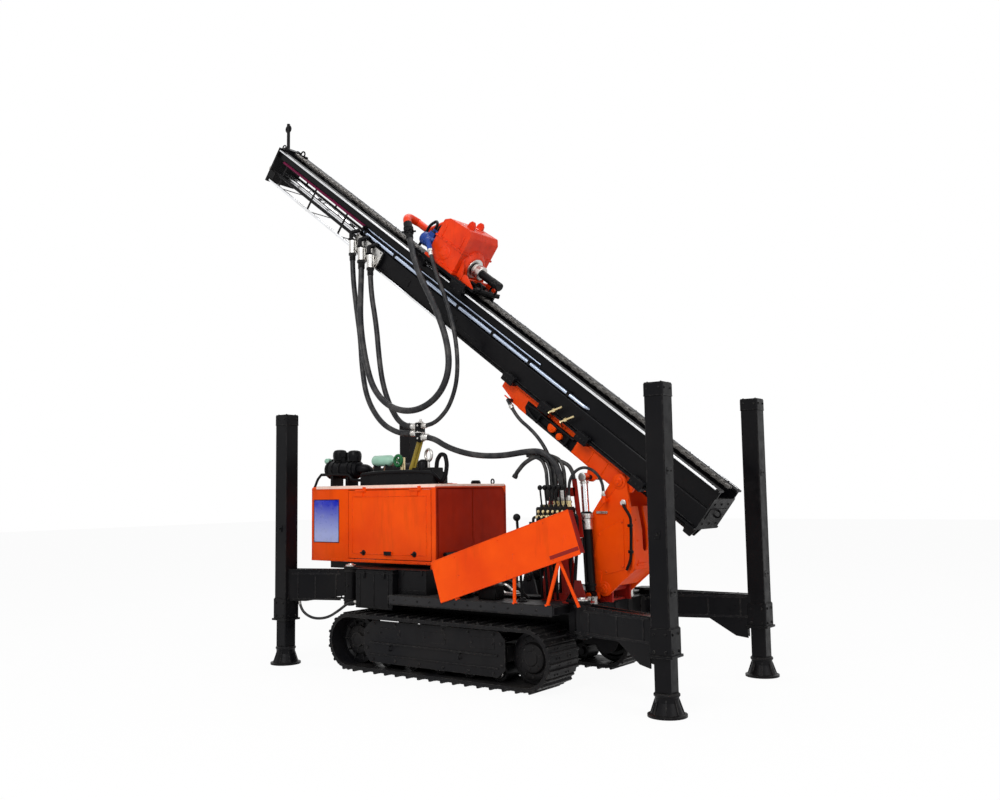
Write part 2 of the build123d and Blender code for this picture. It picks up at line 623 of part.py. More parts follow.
# Boom and its cylinders
def boom():
    """Upright folded boom, open to the rear, hinged at its foot."""
    fx, fz = BOOM_PIN
    tx, tz = TILT_PIN
    half = BOOM_HALF_WIDTH
    outline = convex(
        [
            (fx + 60 * math.cos(math.radians(t)), fz + 60 * math.sin(math.radians(t)))
            for t in range(0, 360, 10)
        ]
        + [
            (tx + 62 * math.cos(math.radians(t)), tz + 62 * math.sin(math.radians(t)))
            for t in range(0, 360, 10)
        ]
        + [(880, 850), (880, 1230), (1330, 900), (1325, 1200), (1272, 1500)]
    )
    sides = [side_plate(outline, y, BOOM_PLATE) for y in (-half, half - BOOM_PLATE)]
    front = side_plate(
        [(1330, 900), (1325, 1200), (1292, 1385), (1276, 1385), (1309, 1200), (1314, 900)], -half + 2,
        2 * half - 4
    )
    belly = side_plate([(1330, 900), (1165, 772), (1155, 784), (1314, 912)], -half + 2, 2 * half - 4)
    back = side_plate([(880, 850), (880, 1120), (896, 1120), (896, 858)], -half + 2, 2 * half - 4)
    flanges = [
        side_plate(
            [(1338, 905), (1333, 1205), (1290, 1440), (1276, 1436), (1317, 1200), (1320, 905)],
            s * (half + 6) - 16, 32
        )
        for s in (-1, 1)
    ]
    holes = [bar((fx, -400, fz), (fx, 400, fz), PIN_R + 0.05)]
    stubs = [bar((tx, s * 124, tz), (tx, s * (half + 14), tz), PIN_R) for s in (-1, 1)]
    eye_lugs = [
        side_plate([(870, 1190), (870, 1280), (905, 1285), (945, 1260), (945, 1190)], s * 62 - 8, 16)
        for s in (-1, 1)
    ]
    eye_bar = [
        bar(
            (BOOM_CYL_EYE[0], s * 50, BOOM_CYL_EYE[1]),
            (BOOM_CYL_EYE[0], s * (half - 5), BOOM_CYL_EYE[1]), 22
        )
        for s in (-1, 1)
    ]
    bx, bz = TILT_CYL_BASE
    base = [bar((bx, s * (half - 2), bz), (bx, s * 296, bz), 20) for s in (-1, 1)]
    cheek = [
        side_plate(
            [(bx - 40, bz - 34), (bx + 40, bz - 34), (bx + 60, bz + 180), (bx - 60, bz + 180)],
            s * (half + 4) - 6, 12
        )
        for s in (-1, 1)
    ]
    body = Part() + sides + front + belly + back + flanges + cheek
    px, py, pz = BOOM_PORT
    port = [bar((px, -half + 4, pz - 34), (px, py, pz - 34), 16), bar((px, py, pz - 50), (px, py, pz), 17)]
    slot = block((1262, 1345), (-BOOM_SLOT_HALF, BOOM_SLOT_HALF), (BOOM_SLOT_Z, 1400))
    slot += Pos(1300, 0, BOOM_SLOT_Z) * Rot(0, 90, 0) * Cylinder(BOOM_SLOT_HALF, 90)
    return body - holes - slot + stubs + eye_bar + base + port


def cylinder_barrel(base, eye, y, r, length, base_hole, eye_width, bore=None):
    """Barrel of a hydraulic cylinder with its base eye, aimed from base to eye in the X-Z plane."""
    dx, dz = eye[0] - base[0], eye[1] - base[1]
    axis = Vector(dx, 0, dz).normalized()
    start = Vector(base[0], y, base[1])
    tip = start + axis * length
    tube = bar(tuple(start + axis * (base_hole + 14)), tuple(tip), r)
    gland = bar(tuple(tip - axis * 40), tuple(tip), r + 8)
    ring = bar((base[0], y - eye_width / 2, base[1]), (base[0], y + eye_width / 2, base[1]), base_hole + 18)
    inside = bar(tuple(start + axis * (base_hole + 60)), tuple(tip + axis * 5), bore or r * 0.55)
    hole = bar((base[0], y - 200, base[1]), (base[0], y + 200, base[1]), base_hole + 0.05)
    return tube + gland + ring - inside - hole


def cylinder_rod(base, eye, y, r, length, hidden, eye_r, eye_width):
    """Polished rod with its eye; the eye's bore is clear of the stub it meets."""
    dx, dz = eye[0] - base[0], eye[1] - base[1]
    axis = Vector(dx, 0, dz).normalized()
    start = Vector(base[0], y, base[1])
    begin = start + axis * (length - hidden)
    end = Vector(eye[0], y, eye[1])
    rod = bar(tuple(begin), tuple(end - axis * (eye_r * 0.5)), r)
    ring = bar((eye[0], y - eye_width / 2, eye[1]), (eye[0], y + eye_width / 2, eye[1]), eye_r)
    return rod + ring


# Cradle and mast
def cradle():
    """Channel under the mast: tilt pivot, slide claws and cylinder lugs."""
    ps, pn = mast_coordinates(*TILT_PIN)
    es, en = mast_coordinates(*TILT_CYL_EYE)
    s0, s1 = CRADLE_S
    walls = []
    for side in (-1, 1):
        outline = [
            (s0, -10), (s1, -10), (s1, -110), (s1 - 260, -170), (s0 + 130, -170), (s0 + 40, -140),
            (s0, -100)
        ]
        wall = side_plate(outline, side * 140 - 10, 20, 8)
        walls.append(wall)
        walls.append(bar((ps, side * 118, pn), (ps, side * 154, pn), 62))
    top = block((s0, s1), (-150, 150), (-30, -5))
    bottom = block((s0 + 180, s1 - 300), (-150, 150), (-170, -158))
    end = block((s1 - 14, s1), (-150, 150), (-110, -10))
    claws = []
    for cs in (515, 1120, 1560, 2020):
        pad = block((cs, cs + 120), (-240, 240), (-30, -5))
        arms = [block((cs, cs + 120), sorted((s * 220, s * 240)), (-30, 42)) for s in (-1, 1)]
        lips = [block((cs, cs + 120), sorted((s * 192, s * 240)), (22, 42)) for s in (-1, 1)]
        claws += [pad] + arms + lips
    tongue = block((515, s0 + 20), (-150, 150), (-30, -5))
    lugs = [
        side_plate(
            [(es - 90, -120), (es + 90, -120), (es + 34, en - 20), (es, en - 38), (es - 34, en - 20)],
            s * 140 - 10, 20, 8
        )
        for s in (-1, 1)
    ]
    shaft = bar((es, -212, en), (es, 212, en), 22)
    body = Part() + walls + top + bottom + end + claws + tongue + lugs + shaft
    body -= bar((ps, -300, pn), (ps, 300, pn), PIN_R + 0.05)
    body -= [block((s0 - 1, s0 + 400), (-117, 117), (-180, -31))]
    px, py, pz = CRADLE_UNION
    port = bar((px, -148, pz), (px, py, pz), 18) + Pos(px, py, pz) * Sphere(18)
    port += bar(CRADLE_UNION, CRADLE_PORT, 17)
    return on_mast(body) + port


def slide_cylinder_barrel():
    tube = bar((980, 0, SLIDE_N), (2110, 0, SLIDE_N), 38)
    gland = bar((980, 0, SLIDE_N), (1020, 0, SLIDE_N), 42)
    ring = bar((2060, 0, SLIDE_N), (2110, 0, SLIDE_N), 42)
    saddle = [block((x, x + 40), (-30, 30), (SLIDE_N + 10, -30)) for x in (1040, 1900)]
    bore = bar((975, 0, SLIDE_N), (2060, 0, SLIDE_N), SLIDE_ROD_R + 1)
    return on_mast(tube + gland + ring + saddle - bore)


def slide_cylinder_rod():
    rod = bar((SLIDE_EYE_S, 0, SLIDE_N), (1690, 0, SLIDE_N), SLIDE_ROD_R)
    eye = bar((SLIDE_EYE_S, -30, SLIDE_N), (SLIDE_EYE_S, 30, SLIDE_N), 32)
    outline = [(30, 0), (154, 0), (SLIDE_EYE_S + 34, SLIDE_N - 34), (SLIDE_EYE_S - 34, SLIDE_N - 34)]
    lug = [side_plate(outline, y, 12, 6) for y in (-44, 32)]
    pin = bar((SLIDE_EYE_S, -44, SLIDE_N), (SLIDE_EYE_S, 44, SLIDE_N), 16)
    return on_mast(rod + eye + lug + pin)


def mast_beam():
    """Long box beam with guide rails on top; the rails run on to the crown."""
    wide = MAST_FLANGE_HALF
    box = MAST_BOX_HALF
    top = MAST_BOX_TOP
    rail = MAST_RAIL_HALF
    flange = Pos(0, 8) * Rectangle(2 * wide, 16)
    outer = Pos(0, (16 + top) / 2) * RectangleRounded(2 * box, top - 16, 18)
    outer += Pos(0, 30) * Rectangle(2 * box, 28)
    inner = Pos(0, (26 + top - 10) / 2) * Rectangle(2 * box - 20, top - 36)
    section = flange + outer - inner
    for s in (-1, 1):
        section += Pos(s * 158, (top - 5 + MAST_TOP) / 2) * Rectangle(14, MAST_TOP - top + 5)
        section += Pos(s * (rail - 42), MAST_TOP - 7) * Rectangle(84, 14)
    upper = []
    for s in (-1, 1):
        upper.append(Pos(s * 158, (272 + MAST_TOP) / 2) * Rectangle(14, MAST_TOP - 272))
        upper.append(Pos(s * (rail - 42), MAST_TOP - 7) * Rectangle(84, 14))
    lower_part = extrude(Plane.YZ * section, MAST_BOX_LENGTH)
    rails = extrude(Plane.YZ * (Sketch() + upper), MAST_RAIL_LENGTH)
    end_plate = block((0, 14), (-box, box), (10, top + 90))
    cap = block((MAST_BOX_LENGTH - 14, MAST_BOX_LENGTH), (-wide, wide), (0, top + 84))
    cap -= bar((MAST_BOX_LENGTH - 60, 0, FEED_N), (MAST_BOX_LENGTH + 60, 0, FEED_N), 62.3)
    ties = []
    for x in (900, 1900, 2900, 3900, 4900, 5500):
        ties.append(block((x, x + 60), (-152, 152), (272, 284)))
        ties.append(block((x + 10, x + 50), (-30, 30), (283, 360)))
    return on_mast(lower_part + rails + end_plate + cap + ties)


def feed_cylinder():
    """Fixed feed cylinder in the box beam: its head and the polished rod up to the crown."""
    head = bar((MAST_BOX_LENGTH - 120, 0, FEED_N), (MAST_BOX_LENGTH + 70, 0, FEED_N), 62)
    rod = bar((MAST_BOX_LENGTH + 60, 0, FEED_N), (MAST_RAIL_LENGTH, 0, FEED_N), 45)
    ring = bar((MAST_BOX_LENGTH + 30, 0, FEED_N), (MAST_BOX_LENGTH + 70, 0, FEED_N), 70)
    return on_mast(head + rod + ring)


def mast_tie_pipes():
    return [on_mast(bar((MAST_BOX_LENGTH, y, 14), (MAST_RAIL_LENGTH, y, 14), 14)) for y in (-168, 168)]


def crown():
    """Head plate of the mast with the chain wheel's cheeks, guard and lifting post."""
    s0 = MAST_RAIL_LENGTH
    plate = block((s0, s0 + 22), (-195, 195), (-12, 372))
    cheeks = [
        side_plate([(s0, 180), (s0 + 128, 240), (s0 + 134, 330), (s0 + 60, 392), (s0, 392)], y - 7, 14, 10)
        for y in (-80, 80)
    ]
    lean = math.radians(MAST_ANGLE)
    foot = Vector(s0 + 44, 60, 376)
    up = Vector(math.sin(lean), 0, math.cos(lean))
    post = bar(tuple(foot), tuple(foot + up * CROWN_POST), 17)
    ring_at = foot + up * (CROWN_POST - 55)
    hook = Pos(*ring_at) * Rot(90, 0, 0) * Torus(34, 10)
    axle = bar((s0 + 94, -88, 306), (s0 + 94, 88, 306), 14)
    shelf = block((s0, s0 + 70), (-88, 88), (372, 384))
    return on_mast(plate + cheeks + post + axle + shelf + hook)


def crown_sheave():
    s0 = MAST_RAIL_LENGTH
    profile = [(14.05, -24), (60, -24), (60, -14), (48, -10), (48, 10), (60, 14), (60, 24), (14.05, 24)]
    face = make_face(Polyline(*profile, close=True))
    turned = revolve(face, Axis.Y)
    return on_mast(Pos(s0 + 94, 0, 306) * turned)


def feed_chain():
    """Roller chain along the mast's top, as one strip with waisted links."""
    pitch = 76.0
    count = int((MAST_RAIL_LENGTH - 60) / pitch)
    strip = Pos(30 + count * pitch / 2, 0, 371) * Box(count * pitch, 52, 14)
    bosses = [
        block((30 + pitch * (k + 0.2), 30 + pitch * (k + 0.8)), (-34, 34), (360, 384))
        for k in range(count)
    ]
    return on_mast(strip + bosses)


def hose_bracket():
    """Plate on the mast's near side with three upright collars that hold the hose ends."""
    s0, s1 = CLAMP_S[0] - 60, CLAMP_S[-1] + 60
    plate = block((s0, s1), (215, 227), (20, 180))
    feet = [block((x, x + 30), (185, 216), (40, 150)) for x in (s0 + 20, s1 - 90)]
    holder = on_mast(plate + feet)
    pieces = []
    for s in CLAMP_S:
        x, y, z = mast_point(s, -CLAMP_Y, CLAMP_N)
        pieces.append(bar((x, y, z - 60), (x, y, z + 62), 34))
        pieces.append(Pos(x, y + 20, z) * Box(40, 40, 50))
    return holder + pieces


# Rotary head
def head_carriage():
    s0, s1 = 2960, 3700
    plate = block((s0, s1), (-236, 236), (396, 422))
    claws = []
    for cs in (s0, s1 - 180):
        for s in (-1, 1):
            claws.append(block((cs, cs + 180), sorted((s * 214, s * 236)), (316, 400)))
            claws.append(block((cs, cs + 180), sorted((s * 182, s * 236)), (316, 332)))
    ribs = [side_plate([(s0 - 60, 421), (s0 + 98, 421), (s0 + 98, 470)], y, 14, 4) for y in (-190, 176)]
    nose = block((s0 - 70, s0 + 20), (-200, 200), (400, 421))
    return on_mast(plate + claws + ribs + nose)


def rotary_gearbox():
    """Cast housing: a chamfered block on a flange with a round nose for the spindle."""
    s0, s1 = HEAD_S
    outline = [(s0, 440), (s1, 440), (s1, 792), (s1 - 60, 830), (s0 + 40, 842), (s0, 790)]
    body = side_plate(outline, -205, 410, 20)
    flange = block((s0 - 14, s1 + 14), (-222, 222), (422, 446))
    rim = block((s0 - 10, s1 + 10), (-214, 214), (628, 646))
    nose = bar((s0 - 46, 0, SPINDLE_N), (s0 + 10, 0, SPINDLE_N), 96)
    body = body + flange + rim + nose
    body -= bar((s0 - 60, 0, SPINDLE_N), (s0 + 90, 0, SPINDLE_N), 60.05)
    return on_mast(body)


def drive_motors():
    """Hydraulic motors on the housing's upper end, one each side of the air pipe."""
    s1 = HEAD_S[1]
    solids = []
    for y in (-128, 128):
        case = bar((s1, y, MOTOR_N), (s1 + 190, y, MOTOR_N), 58)
        case += bar((s1, y, MOTOR_N), (s1 + 24, y, MOTOR_N), 70)
        case += block((s1 + 60, s1 + 130), (y - 36, y + 36), (MOTOR_N + 40, MOTOR_N + 96))
        solids.append(on_mast(case))
    port = Vector(*OIL_HOSE_EXIT)
    inner = Vector(*mast_point(s1 + 100, -150, MOTOR_N))
    route = FilletPolyline(inner, port - 0.6 * OIL_HOSE_WAY, port, radius=30)
    solids[1] = solids[1] + sweep(Plane(route @ 0, z_dir=route % 0) * Circle(24), path=route)
    return solids


def swivel():
    """Air inlet: a bent pipe behind the housing and the elbow that turns it down to the hose."""
    s1 = HEAD_S[1]
    high, low = SPINDLE_N + 185, SPINDLE_N + 30
    route = FilletPolyline(
        (s1, 0, high), (s1 + 130, 0, high), (s1 + 280, 0, low), (s1 + 480, 0, low), radius=60
    )
    pipe = sweep(Plane(route @ 0, z_dir=route % 0) * Circle(34), path=route)
    drum = bar((s1, 0, SPINDLE_N), (s1 + 120, 0, SPINDLE_N), 52)
    flange = bar((s1, 0, high), (s1 + 18, 0, high), 56)
    body = on_mast(pipe + drum + flange)
    start = Vector(*mast_point(s1 + 470, 0, low))
    end = Vector(*AIR_HOSE_EXIT)
    mid = end - 1.2 * AIR_HOSE_WAY
    elbow_route = FilletPolyline(start, mid, end, radius=70)
    elbow = sweep(Plane(elbow_route @ 0, z_dir=elbow_route % 0) * Circle(38), path=elbow_route)
    return body + elbow + Pos(*start) * Sphere(38)


def spindle():
    s0 = HEAD_S[0]
    shaft = bar((SPINDLE_END, 0, SPINDLE_N), (s0 - 40, 0, SPINDLE_N), SPINDLE_R)
    collar = bar((s0 - 150, 0, SPINDLE_N), (s0 - 60, 0, SPINDLE_N), 58)
    journal = bar((s0 - 70, 0, SPINDLE_N), (s0 + 80, 0, SPINDLE_N), 60)
    return on_mast(shaft + collar + journal)


# Hoses
def hose(points, radius):
    """A hose swept through its corners with easy bends."""
    pts = [Vector(*p) for p in points]
    runs = [(b - a).length for a, b in zip(pts, pts[1:])]
    radii = []
    for i in range(1, len(pts) - 1):
        a = (pts[i] - pts[i - 1]).normalized()
        b = (pts[i + 1] - pts[i]).normalized()
        turn = math.acos(max(-1.0, min(1.0, a.dot(b))))
        radii.append(0.45 * min(runs[i - 1], runs[i]) / math.tan(turn / 2))
    path = FilletPolyline(*pts, radius=radii)
    return sweep(Plane(path @ 0, z_dir=path % 0) * Circle(radius), path=path)


def clamp_end(k, below=0.0):
    """Lower face of one collar of the mast's hose bracket, or a point under it."""
    x, y, z = mast_point(CLAMP_S[k], -CLAMP_Y, CLAMP_N)
    return (x, y, z - 60 + below)


# name, diameter, corner points in machine coordinates
HOSES = (
    ("head_air_hose", 56, (
        AIR_HOSE_EXIT, (-875, -265, 3790), (-720, -350, 3510), (-460, -425, 3160), (-285, -470, 2830),
        (-225, -510, 2550), (-320, -545, 2330), (-560, -562, 2215), (-850, -560, 2255), (-1090, -545, 2440),
        (-1225, -515, 2740), (-1350, -450, 3100), (-1452, -340, 3400), clamp_end(1, -130), clamp_end(1))),
    ("head_oil_hose", 38, (
        OIL_HOSE_EXIT, (-570, -300, 3530), (-395, -335, 3205), (-260, -370, 2830), (-225, -400, 2500),
        (-290, -425, 2270), (-400, -440, 2150), (-510, -448, 2100), (-600, -448, 2100))),
    ("mast_long_hose", 50, (
        clamp_end(2), clamp_end(2, -200), (-1525, -320, 3260), (-1425, -370, 2980), (-1375, -400, 2680),
        (-1285, -430, 2385), (-1090, -450, 2150), (-880, -450, 2050), (-740, -450, 2040),
        (-640, -450, 2040))),
    ("mast_short_hose", 50, (
        clamp_end(0), clamp_end(0, -200), (-1265, -320, 3080), (-1190, -370, 2800), (-1115, -405, 2540),
        (-1010, -432, 2330), (-905, -446, 2190), (-830, -448, 2130), (-735, -448, 2098), (-640, -448, 2098))),
    ("deck_hose", 50, (
        (-600, -448, 2000), (-490, -448, 2000), (-300, -450, 1895), (-30, -450, 1822), (260, -450, 1805),
        (530, -450, 1836), (665, -450, 1830), (762, -440, 1765), (812, -418, 1655), (820, -400, 1540),
        (820, -400, 1440))),
    ("cradle_hose", 30, (
        (760, -400, 1440), (760, -400, 1560), (735, -400, 1720), (645, -385, 1880), (515, -360, 2010),
        (345, -334, 2125), CRADLE_PORT)),
    ("boom_hose", 24, (
        (880, -400, 1440), (880, -400, 1530), (892, -397, 1605), (930, -378, 1670), (990, -345, 1700),
        (1052, -302, 1672), (1090, -262, 1605), (1100, -240, 1535), BOOM_PORT)),
    ("leg_hose", 24, (
        (-1780, -794, 564), (-1768, -790, 498), (-1705, -784, 440), (-1600, -772, 408), (-1450, -758, 425),
        (-1330, -734, 495), (-1262, -710, 550), (-1200, -700, 575), (-1138, -700, 575))),
)


# Assembly
def model():
    """All nodes in machine coordinates, before the origin is moved under the middle."""
    right_track = track_loop()
    wheels = track_wheels()
    roller_frame = track_frame()
    boxes = side_box()
    front = fender((-690, 955))
    nodes = {
        "main_frame": [main_frame()],
        "front_deck": [front_deck()],
        "boom_bracket": [boom_bracket()],
        "right_fender": [front],
        "left_fender": [mirrored(front)],
        "right_track": [right_track],
        "left_track": [mirrored(right_track)],
        "right_track_wheels": wheels,
        "left_track_wheels": [mirrored(w) for w in wheels],
        "right_track_frame": [roller_frame],
        "left_track_frame": [mirrored(roller_frame)],
        "engine_hood": [engine_hood()],
        "right_hood_door": [hood_door()],
        "left_hood_door": [mirrored(hood_door())],
        "engine": [engine()],
        "air_cleaner": [air_cleaner()],
        "exhaust": [exhaust()],
        "hood_rack": [hood_rack()],
        "right_side_boxes": boxes,
        "left_side_boxes": [mirrored(b) for b in boxes],
        "side_panel": [side_panel()],
        "valve_stand": [valve_stand()],
        "valve_bank": [valve_bank()],
        "boom": [boom()],
        "boom_cylinder_barrel": [cylinder_barrel(BOOM_CYL_BASE, BOOM_CYL_EYE, 0, 50, 560, 22, 70, 29)],
        "boom_cylinder_rod": [cylinder_rod(BOOM_CYL_BASE, BOOM_CYL_EYE, 0, 28, 560, 360, 42, 70)],
        "tilt_cylinder_barrels": [
            cylinder_barrel(TILT_CYL_BASE, TILT_CYL_EYE, s * TILT_CYL_Y, 42, 640, 20, 60, TILT_ROD_R + 1)
            for s in (-1, 1)
        ],
        "tilt_cylinder_rods": [
            cylinder_rod(TILT_CYL_BASE, TILT_CYL_EYE, s * TILT_CYL_Y, TILT_ROD_R, 640, 420, 36, 60)
            for s in (-1, 1)
        ],
        "cradle": [cradle()],
        "slide_cylinder_barrel": [slide_cylinder_barrel()],
        "slide_cylinder_rod": [slide_cylinder_rod()],
        "mast_beam": [mast_beam()],
        "feed_cylinder": [feed_cylinder()] + mast_tie_pipes(),
        "crown": [crown()],
        "crown_sheave": [crown_sheave()],
        "feed_chain": [feed_chain()],
        "hose_bracket": [hose_bracket()],
        "head_carriage": [head_carriage()],
        "rotary_gearbox": [rotary_gearbox()],
        "drive_motors": drive_motors(),
        "swivel": [swivel()],
        "spindle": [spindle()],
    }
    for name, sx, pin, z in (("front", 1, FRONT_PIN, FRONT_ARM_Z), ("rear", -1, REAR_PIN, REAR_ARM_Z)):
        arm = outrigger((pin[0], -pin[1]), (sx * LEG_X, -LEG_Y), z)
        leg = drop_leg((sx * LEG_X, -LEG_Y))
        nodes[name + "_right_outrigger"] = [arm]
        nodes[name + "_left_outrigger"] = [mirrored(arm)]
        nodes[name + "_right_leg"] = [leg]
        nodes[name + "_left_leg"] = [mirrored(leg)]
    for name, diameter, points in HOSES:
        nodes[name] = [hose(points, diameter / 2)]
    return nodes


def solids_of(items):
    found = []
    for item in items:
        found += list(item.solids())
    return found


def origin_shift(nodes):
    """How far +X the machine moves so that the origin lies under the middle of its length."""
    low = 1e9
    high = -1e9
    for items in nodes.values():
        for item in items:
            box = item.bounding_box()
            low = min(low, box.min.X)
            high = max(high, box.max.X)
    return -(low + high) / 2


def main():
    nodes = model()
    shift = origin_shift(nodes)
    print("origin shift", round(shift, 3))
    os.makedirs("parts", exist_ok=True)
    for name, items in nodes.items():
        solids = solids_of(items)
        for s in solids:
            if not s.is_valid:
                print("not valid:", name)
        moved = [Pos(shift, 0, 0) * s for s in solids]
        shape = moved[0] if len(moved) == 1 else Compound(children=moved)
        export_step(shape, "parts/" + name + ".step")
        print(name, len(moved))


if __name__ == "__main__":
    main()
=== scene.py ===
"""Crawler-mounted water well drilling rig: materials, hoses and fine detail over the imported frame.

Sizes in the tables are machine millimetres: +X to the drilling end, +Y to the machine's left, ground at 0.
Pieces on the mast use (s, y, n): s from its foot to its crown, y the machine's own Y, n off its underside.
"""
import json
from itertools import product
from math import atan2, cos, degrees, hypot, pi, radians, sin

import bmesh
import bpy
from mathutils import Matrix, Vector


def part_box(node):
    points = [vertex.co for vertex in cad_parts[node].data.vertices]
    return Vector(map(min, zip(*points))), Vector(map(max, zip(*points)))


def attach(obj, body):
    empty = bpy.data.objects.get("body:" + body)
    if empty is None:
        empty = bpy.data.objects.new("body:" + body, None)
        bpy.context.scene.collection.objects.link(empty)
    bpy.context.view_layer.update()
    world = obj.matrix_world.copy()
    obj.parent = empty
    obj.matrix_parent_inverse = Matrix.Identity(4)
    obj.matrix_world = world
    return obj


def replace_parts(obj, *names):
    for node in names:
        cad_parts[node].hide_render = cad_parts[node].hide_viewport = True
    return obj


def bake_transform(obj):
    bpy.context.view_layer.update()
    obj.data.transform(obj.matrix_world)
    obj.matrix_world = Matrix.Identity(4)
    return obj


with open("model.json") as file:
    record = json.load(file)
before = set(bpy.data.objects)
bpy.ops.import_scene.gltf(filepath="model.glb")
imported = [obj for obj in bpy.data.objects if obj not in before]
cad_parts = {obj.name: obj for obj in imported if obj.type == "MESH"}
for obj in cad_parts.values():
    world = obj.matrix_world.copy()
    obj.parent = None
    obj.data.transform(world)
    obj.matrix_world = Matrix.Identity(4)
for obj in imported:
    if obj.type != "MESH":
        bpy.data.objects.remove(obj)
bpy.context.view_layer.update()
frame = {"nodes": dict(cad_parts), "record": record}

LEG_X = 1907.0
LEG_Y = 840.0
LEG_TOP = 2250.0
MAST_ANGLE = radians(37.2)
MAST_FOOT = (1841.0, 1211.0)
DECK_Z = 660.0
HOOD_SIDE = 510.0
HOOD_TOP = 1585.0
SIDES = (-1, 1)
AHEAD = (1, 0, 0)
BACK = (-1, 0, 0)
LEFT = (0, 1, 0)
RIGHT = (0, -1, 0)
UP = (0, 0, 1)
DOWN = (0, 0, -1)

low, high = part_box("front_right_leg")
SHIFT = (low.x + high.x) * 500 - LEG_X


def machine(x, y, z):
    """Machine millimetres to the row frame's metres."""
    return Vector(((x + SHIFT) / 1000, y / 1000, z / 1000))


def mast_xz(s, n):
    """Machine X and Z of a point on the mast."""
    x = MAST_FOOT[0] - s * cos(MAST_ANGLE) + n * sin(MAST_ANGLE)
    return x, MAST_FOOT[1] + s * sin(MAST_ANGLE) + n * cos(MAST_ANGLE)


def mast(s, y, n):
    """Mast millimetres (s, y, n) to the row frame's metres."""
    x, z = mast_xz(s, n)
    return machine(x, y, z)


def hand(side):
    return "right" if side < 0 else "left"


def placed(name, data):
    """A new object in the scene."""
    obj = bpy.data.objects.new(name, data)
    bpy.context.scene.collection.objects.link(obj)
    return obj


# Camera
CAMERA_AT = (5.4744, -6.8363, 1.5118)
CAMERA_YAW = 0.6374
CAMERA_PITCH = 0.0950
CAMERA_ROLL = -0.0150
CAMERA_LENS = 34.79


def add_camera():
    yaw, pitch, roll = CAMERA_YAW, CAMERA_PITCH, CAMERA_ROLL
    ahead = Vector((-sin(yaw) * cos(pitch), cos(yaw) * cos(pitch), sin(pitch)))
    level = Vector((cos(yaw), sin(yaw), 0))
    over = level.cross(ahead)
    right = cos(roll) * level + sin(roll) * over
    up = cos(roll) * over - sin(roll) * level
    data = bpy.data.cameras.new("camera")
    data.lens = CAMERA_LENS
    data.sensor_width = 36
    data.sensor_fit = "HORIZONTAL"
    data.clip_end = 200
    camera = placed("camera", data)
    turn = Matrix((right, up, -ahead)).transposed().to_4x4()
    camera.matrix_world = Matrix.Translation(Vector(CAMERA_AT)) @ turn
    bpy.context.scene.camera = camera


# Materials
def node_tree(name):
    """A new material, its tree and its shader."""
    material = bpy.data.materials.new(name)
    material.use_nodes = True
    return material, material.node_tree, material.node_tree.nodes["Principled BSDF"]


def feed(tree, node, inputs):
    """Each input gets its value, or a link from the socket given for it."""
    for key, value in inputs.items():
        if isinstance(value, bpy.types.NodeSocket):
            tree.links.new(value, node.inputs[key])
        else:
            node.inputs[key].default_value = value


def add(tree, kind, inputs=None):
    node = tree.nodes.new("ShaderNode" + kind)
    feed(tree, node, inputs or {})
    return node


def noise(tree, scale, detail=4.0, stretch=None, rough=0.55):
    """A noise texture in object coordinates; stretch scales the coordinates per axis."""
    source = add(tree, "TexCoord").outputs["Object"]
    if stretch:
        source = add(tree, "Mapping", {"Scale": stretch, "Vector": source}).outputs["Vector"]
    texture = add(tree, "TexNoise", {"Scale": scale, "Detail": detail, "Roughness": rough, "Vector": source})
    return texture.outputs["Fac"]


def ramp(tree, value, low_at, high_at, low_out=0.0, high_out=1.0):
    """A value remapped from one span to another, held at both ends."""
    spans = {"From Min": low_at, "From Max": high_at, "To Min": low_out, "To Max": high_out}
    return add(tree, "MapRange", {**spans, "Value": value}).outputs["Result"]


def maths(tree, operation, a, b):
    node = add(tree, "Math")
    node.operation = operation
    node.use_clamp = True
    feed(tree, node, {0: a, 1: b})
    return node.outputs["Value"]


def both(tree, a, b):
    return maths(tree, "MULTIPLY", a, b)


def mixed(tree, share, a, b):
    """Colour a to colour b by share; each is a colour or a socket."""
    node = add(tree, "Mix")
    node.data_type = "RGBA"
    a, b = ((*c, 1) if isinstance(c, tuple) else c for c in (a, b))
    feed(tree, node, {"Factor": share, 6: a, 7: b})
    return node.outputs[2]


def edge_mask(tree, radius):
    """1 along sharp edges and 0 on flats, from the rounded normal."""
    bevel = add(tree, "Bevel", {"Radius": radius})
    bevel.samples = 4
    geometry = add(tree, "NewGeometry")
    dot = add(tree, "VectorMath")
    dot.operation = "DOT_PRODUCT"
    feed(tree, dot, {0: bevel.outputs["Normal"], 1: geometry.outputs["Normal"]})
    return ramp(tree, dot.outputs["Value"], 0.99, 0.86)


def upward(tree):
    """1 on faces that look up."""
    normal = add(tree, "NewGeometry").outputs["Normal"]
    return ramp(tree, add(tree, "SeparateXYZ", {"Vector": normal}).outputs["Z"], 0.55, 0.95)


def bump(tree, shader, height, strength, distance=0.002):
    node = add(tree, "Bump", {"Strength": strength, "Distance": distance, "Height": height})
    tree.links.new(node.outputs["Normal"], shader.inputs["Normal"])


def along(tree, axis):
    """A point's place along one axis, in metres."""
    place = add(tree, "TexCoord").outputs["Object"]
    return add(tree, "SeparateXYZ", {"Vector": place}).outputs[axis]


def beyond(tree, limit):
    """1 where a point lies further than limit from the machine's middle plane, in metres."""
    y = along(tree, "Y")
    node = add(tree, "Math")
    node.operation = "ABSOLUTE"
    feed(tree, node, {0: y})
    return ramp(tree, node.outputs["Value"], limit, limit + 0.001)


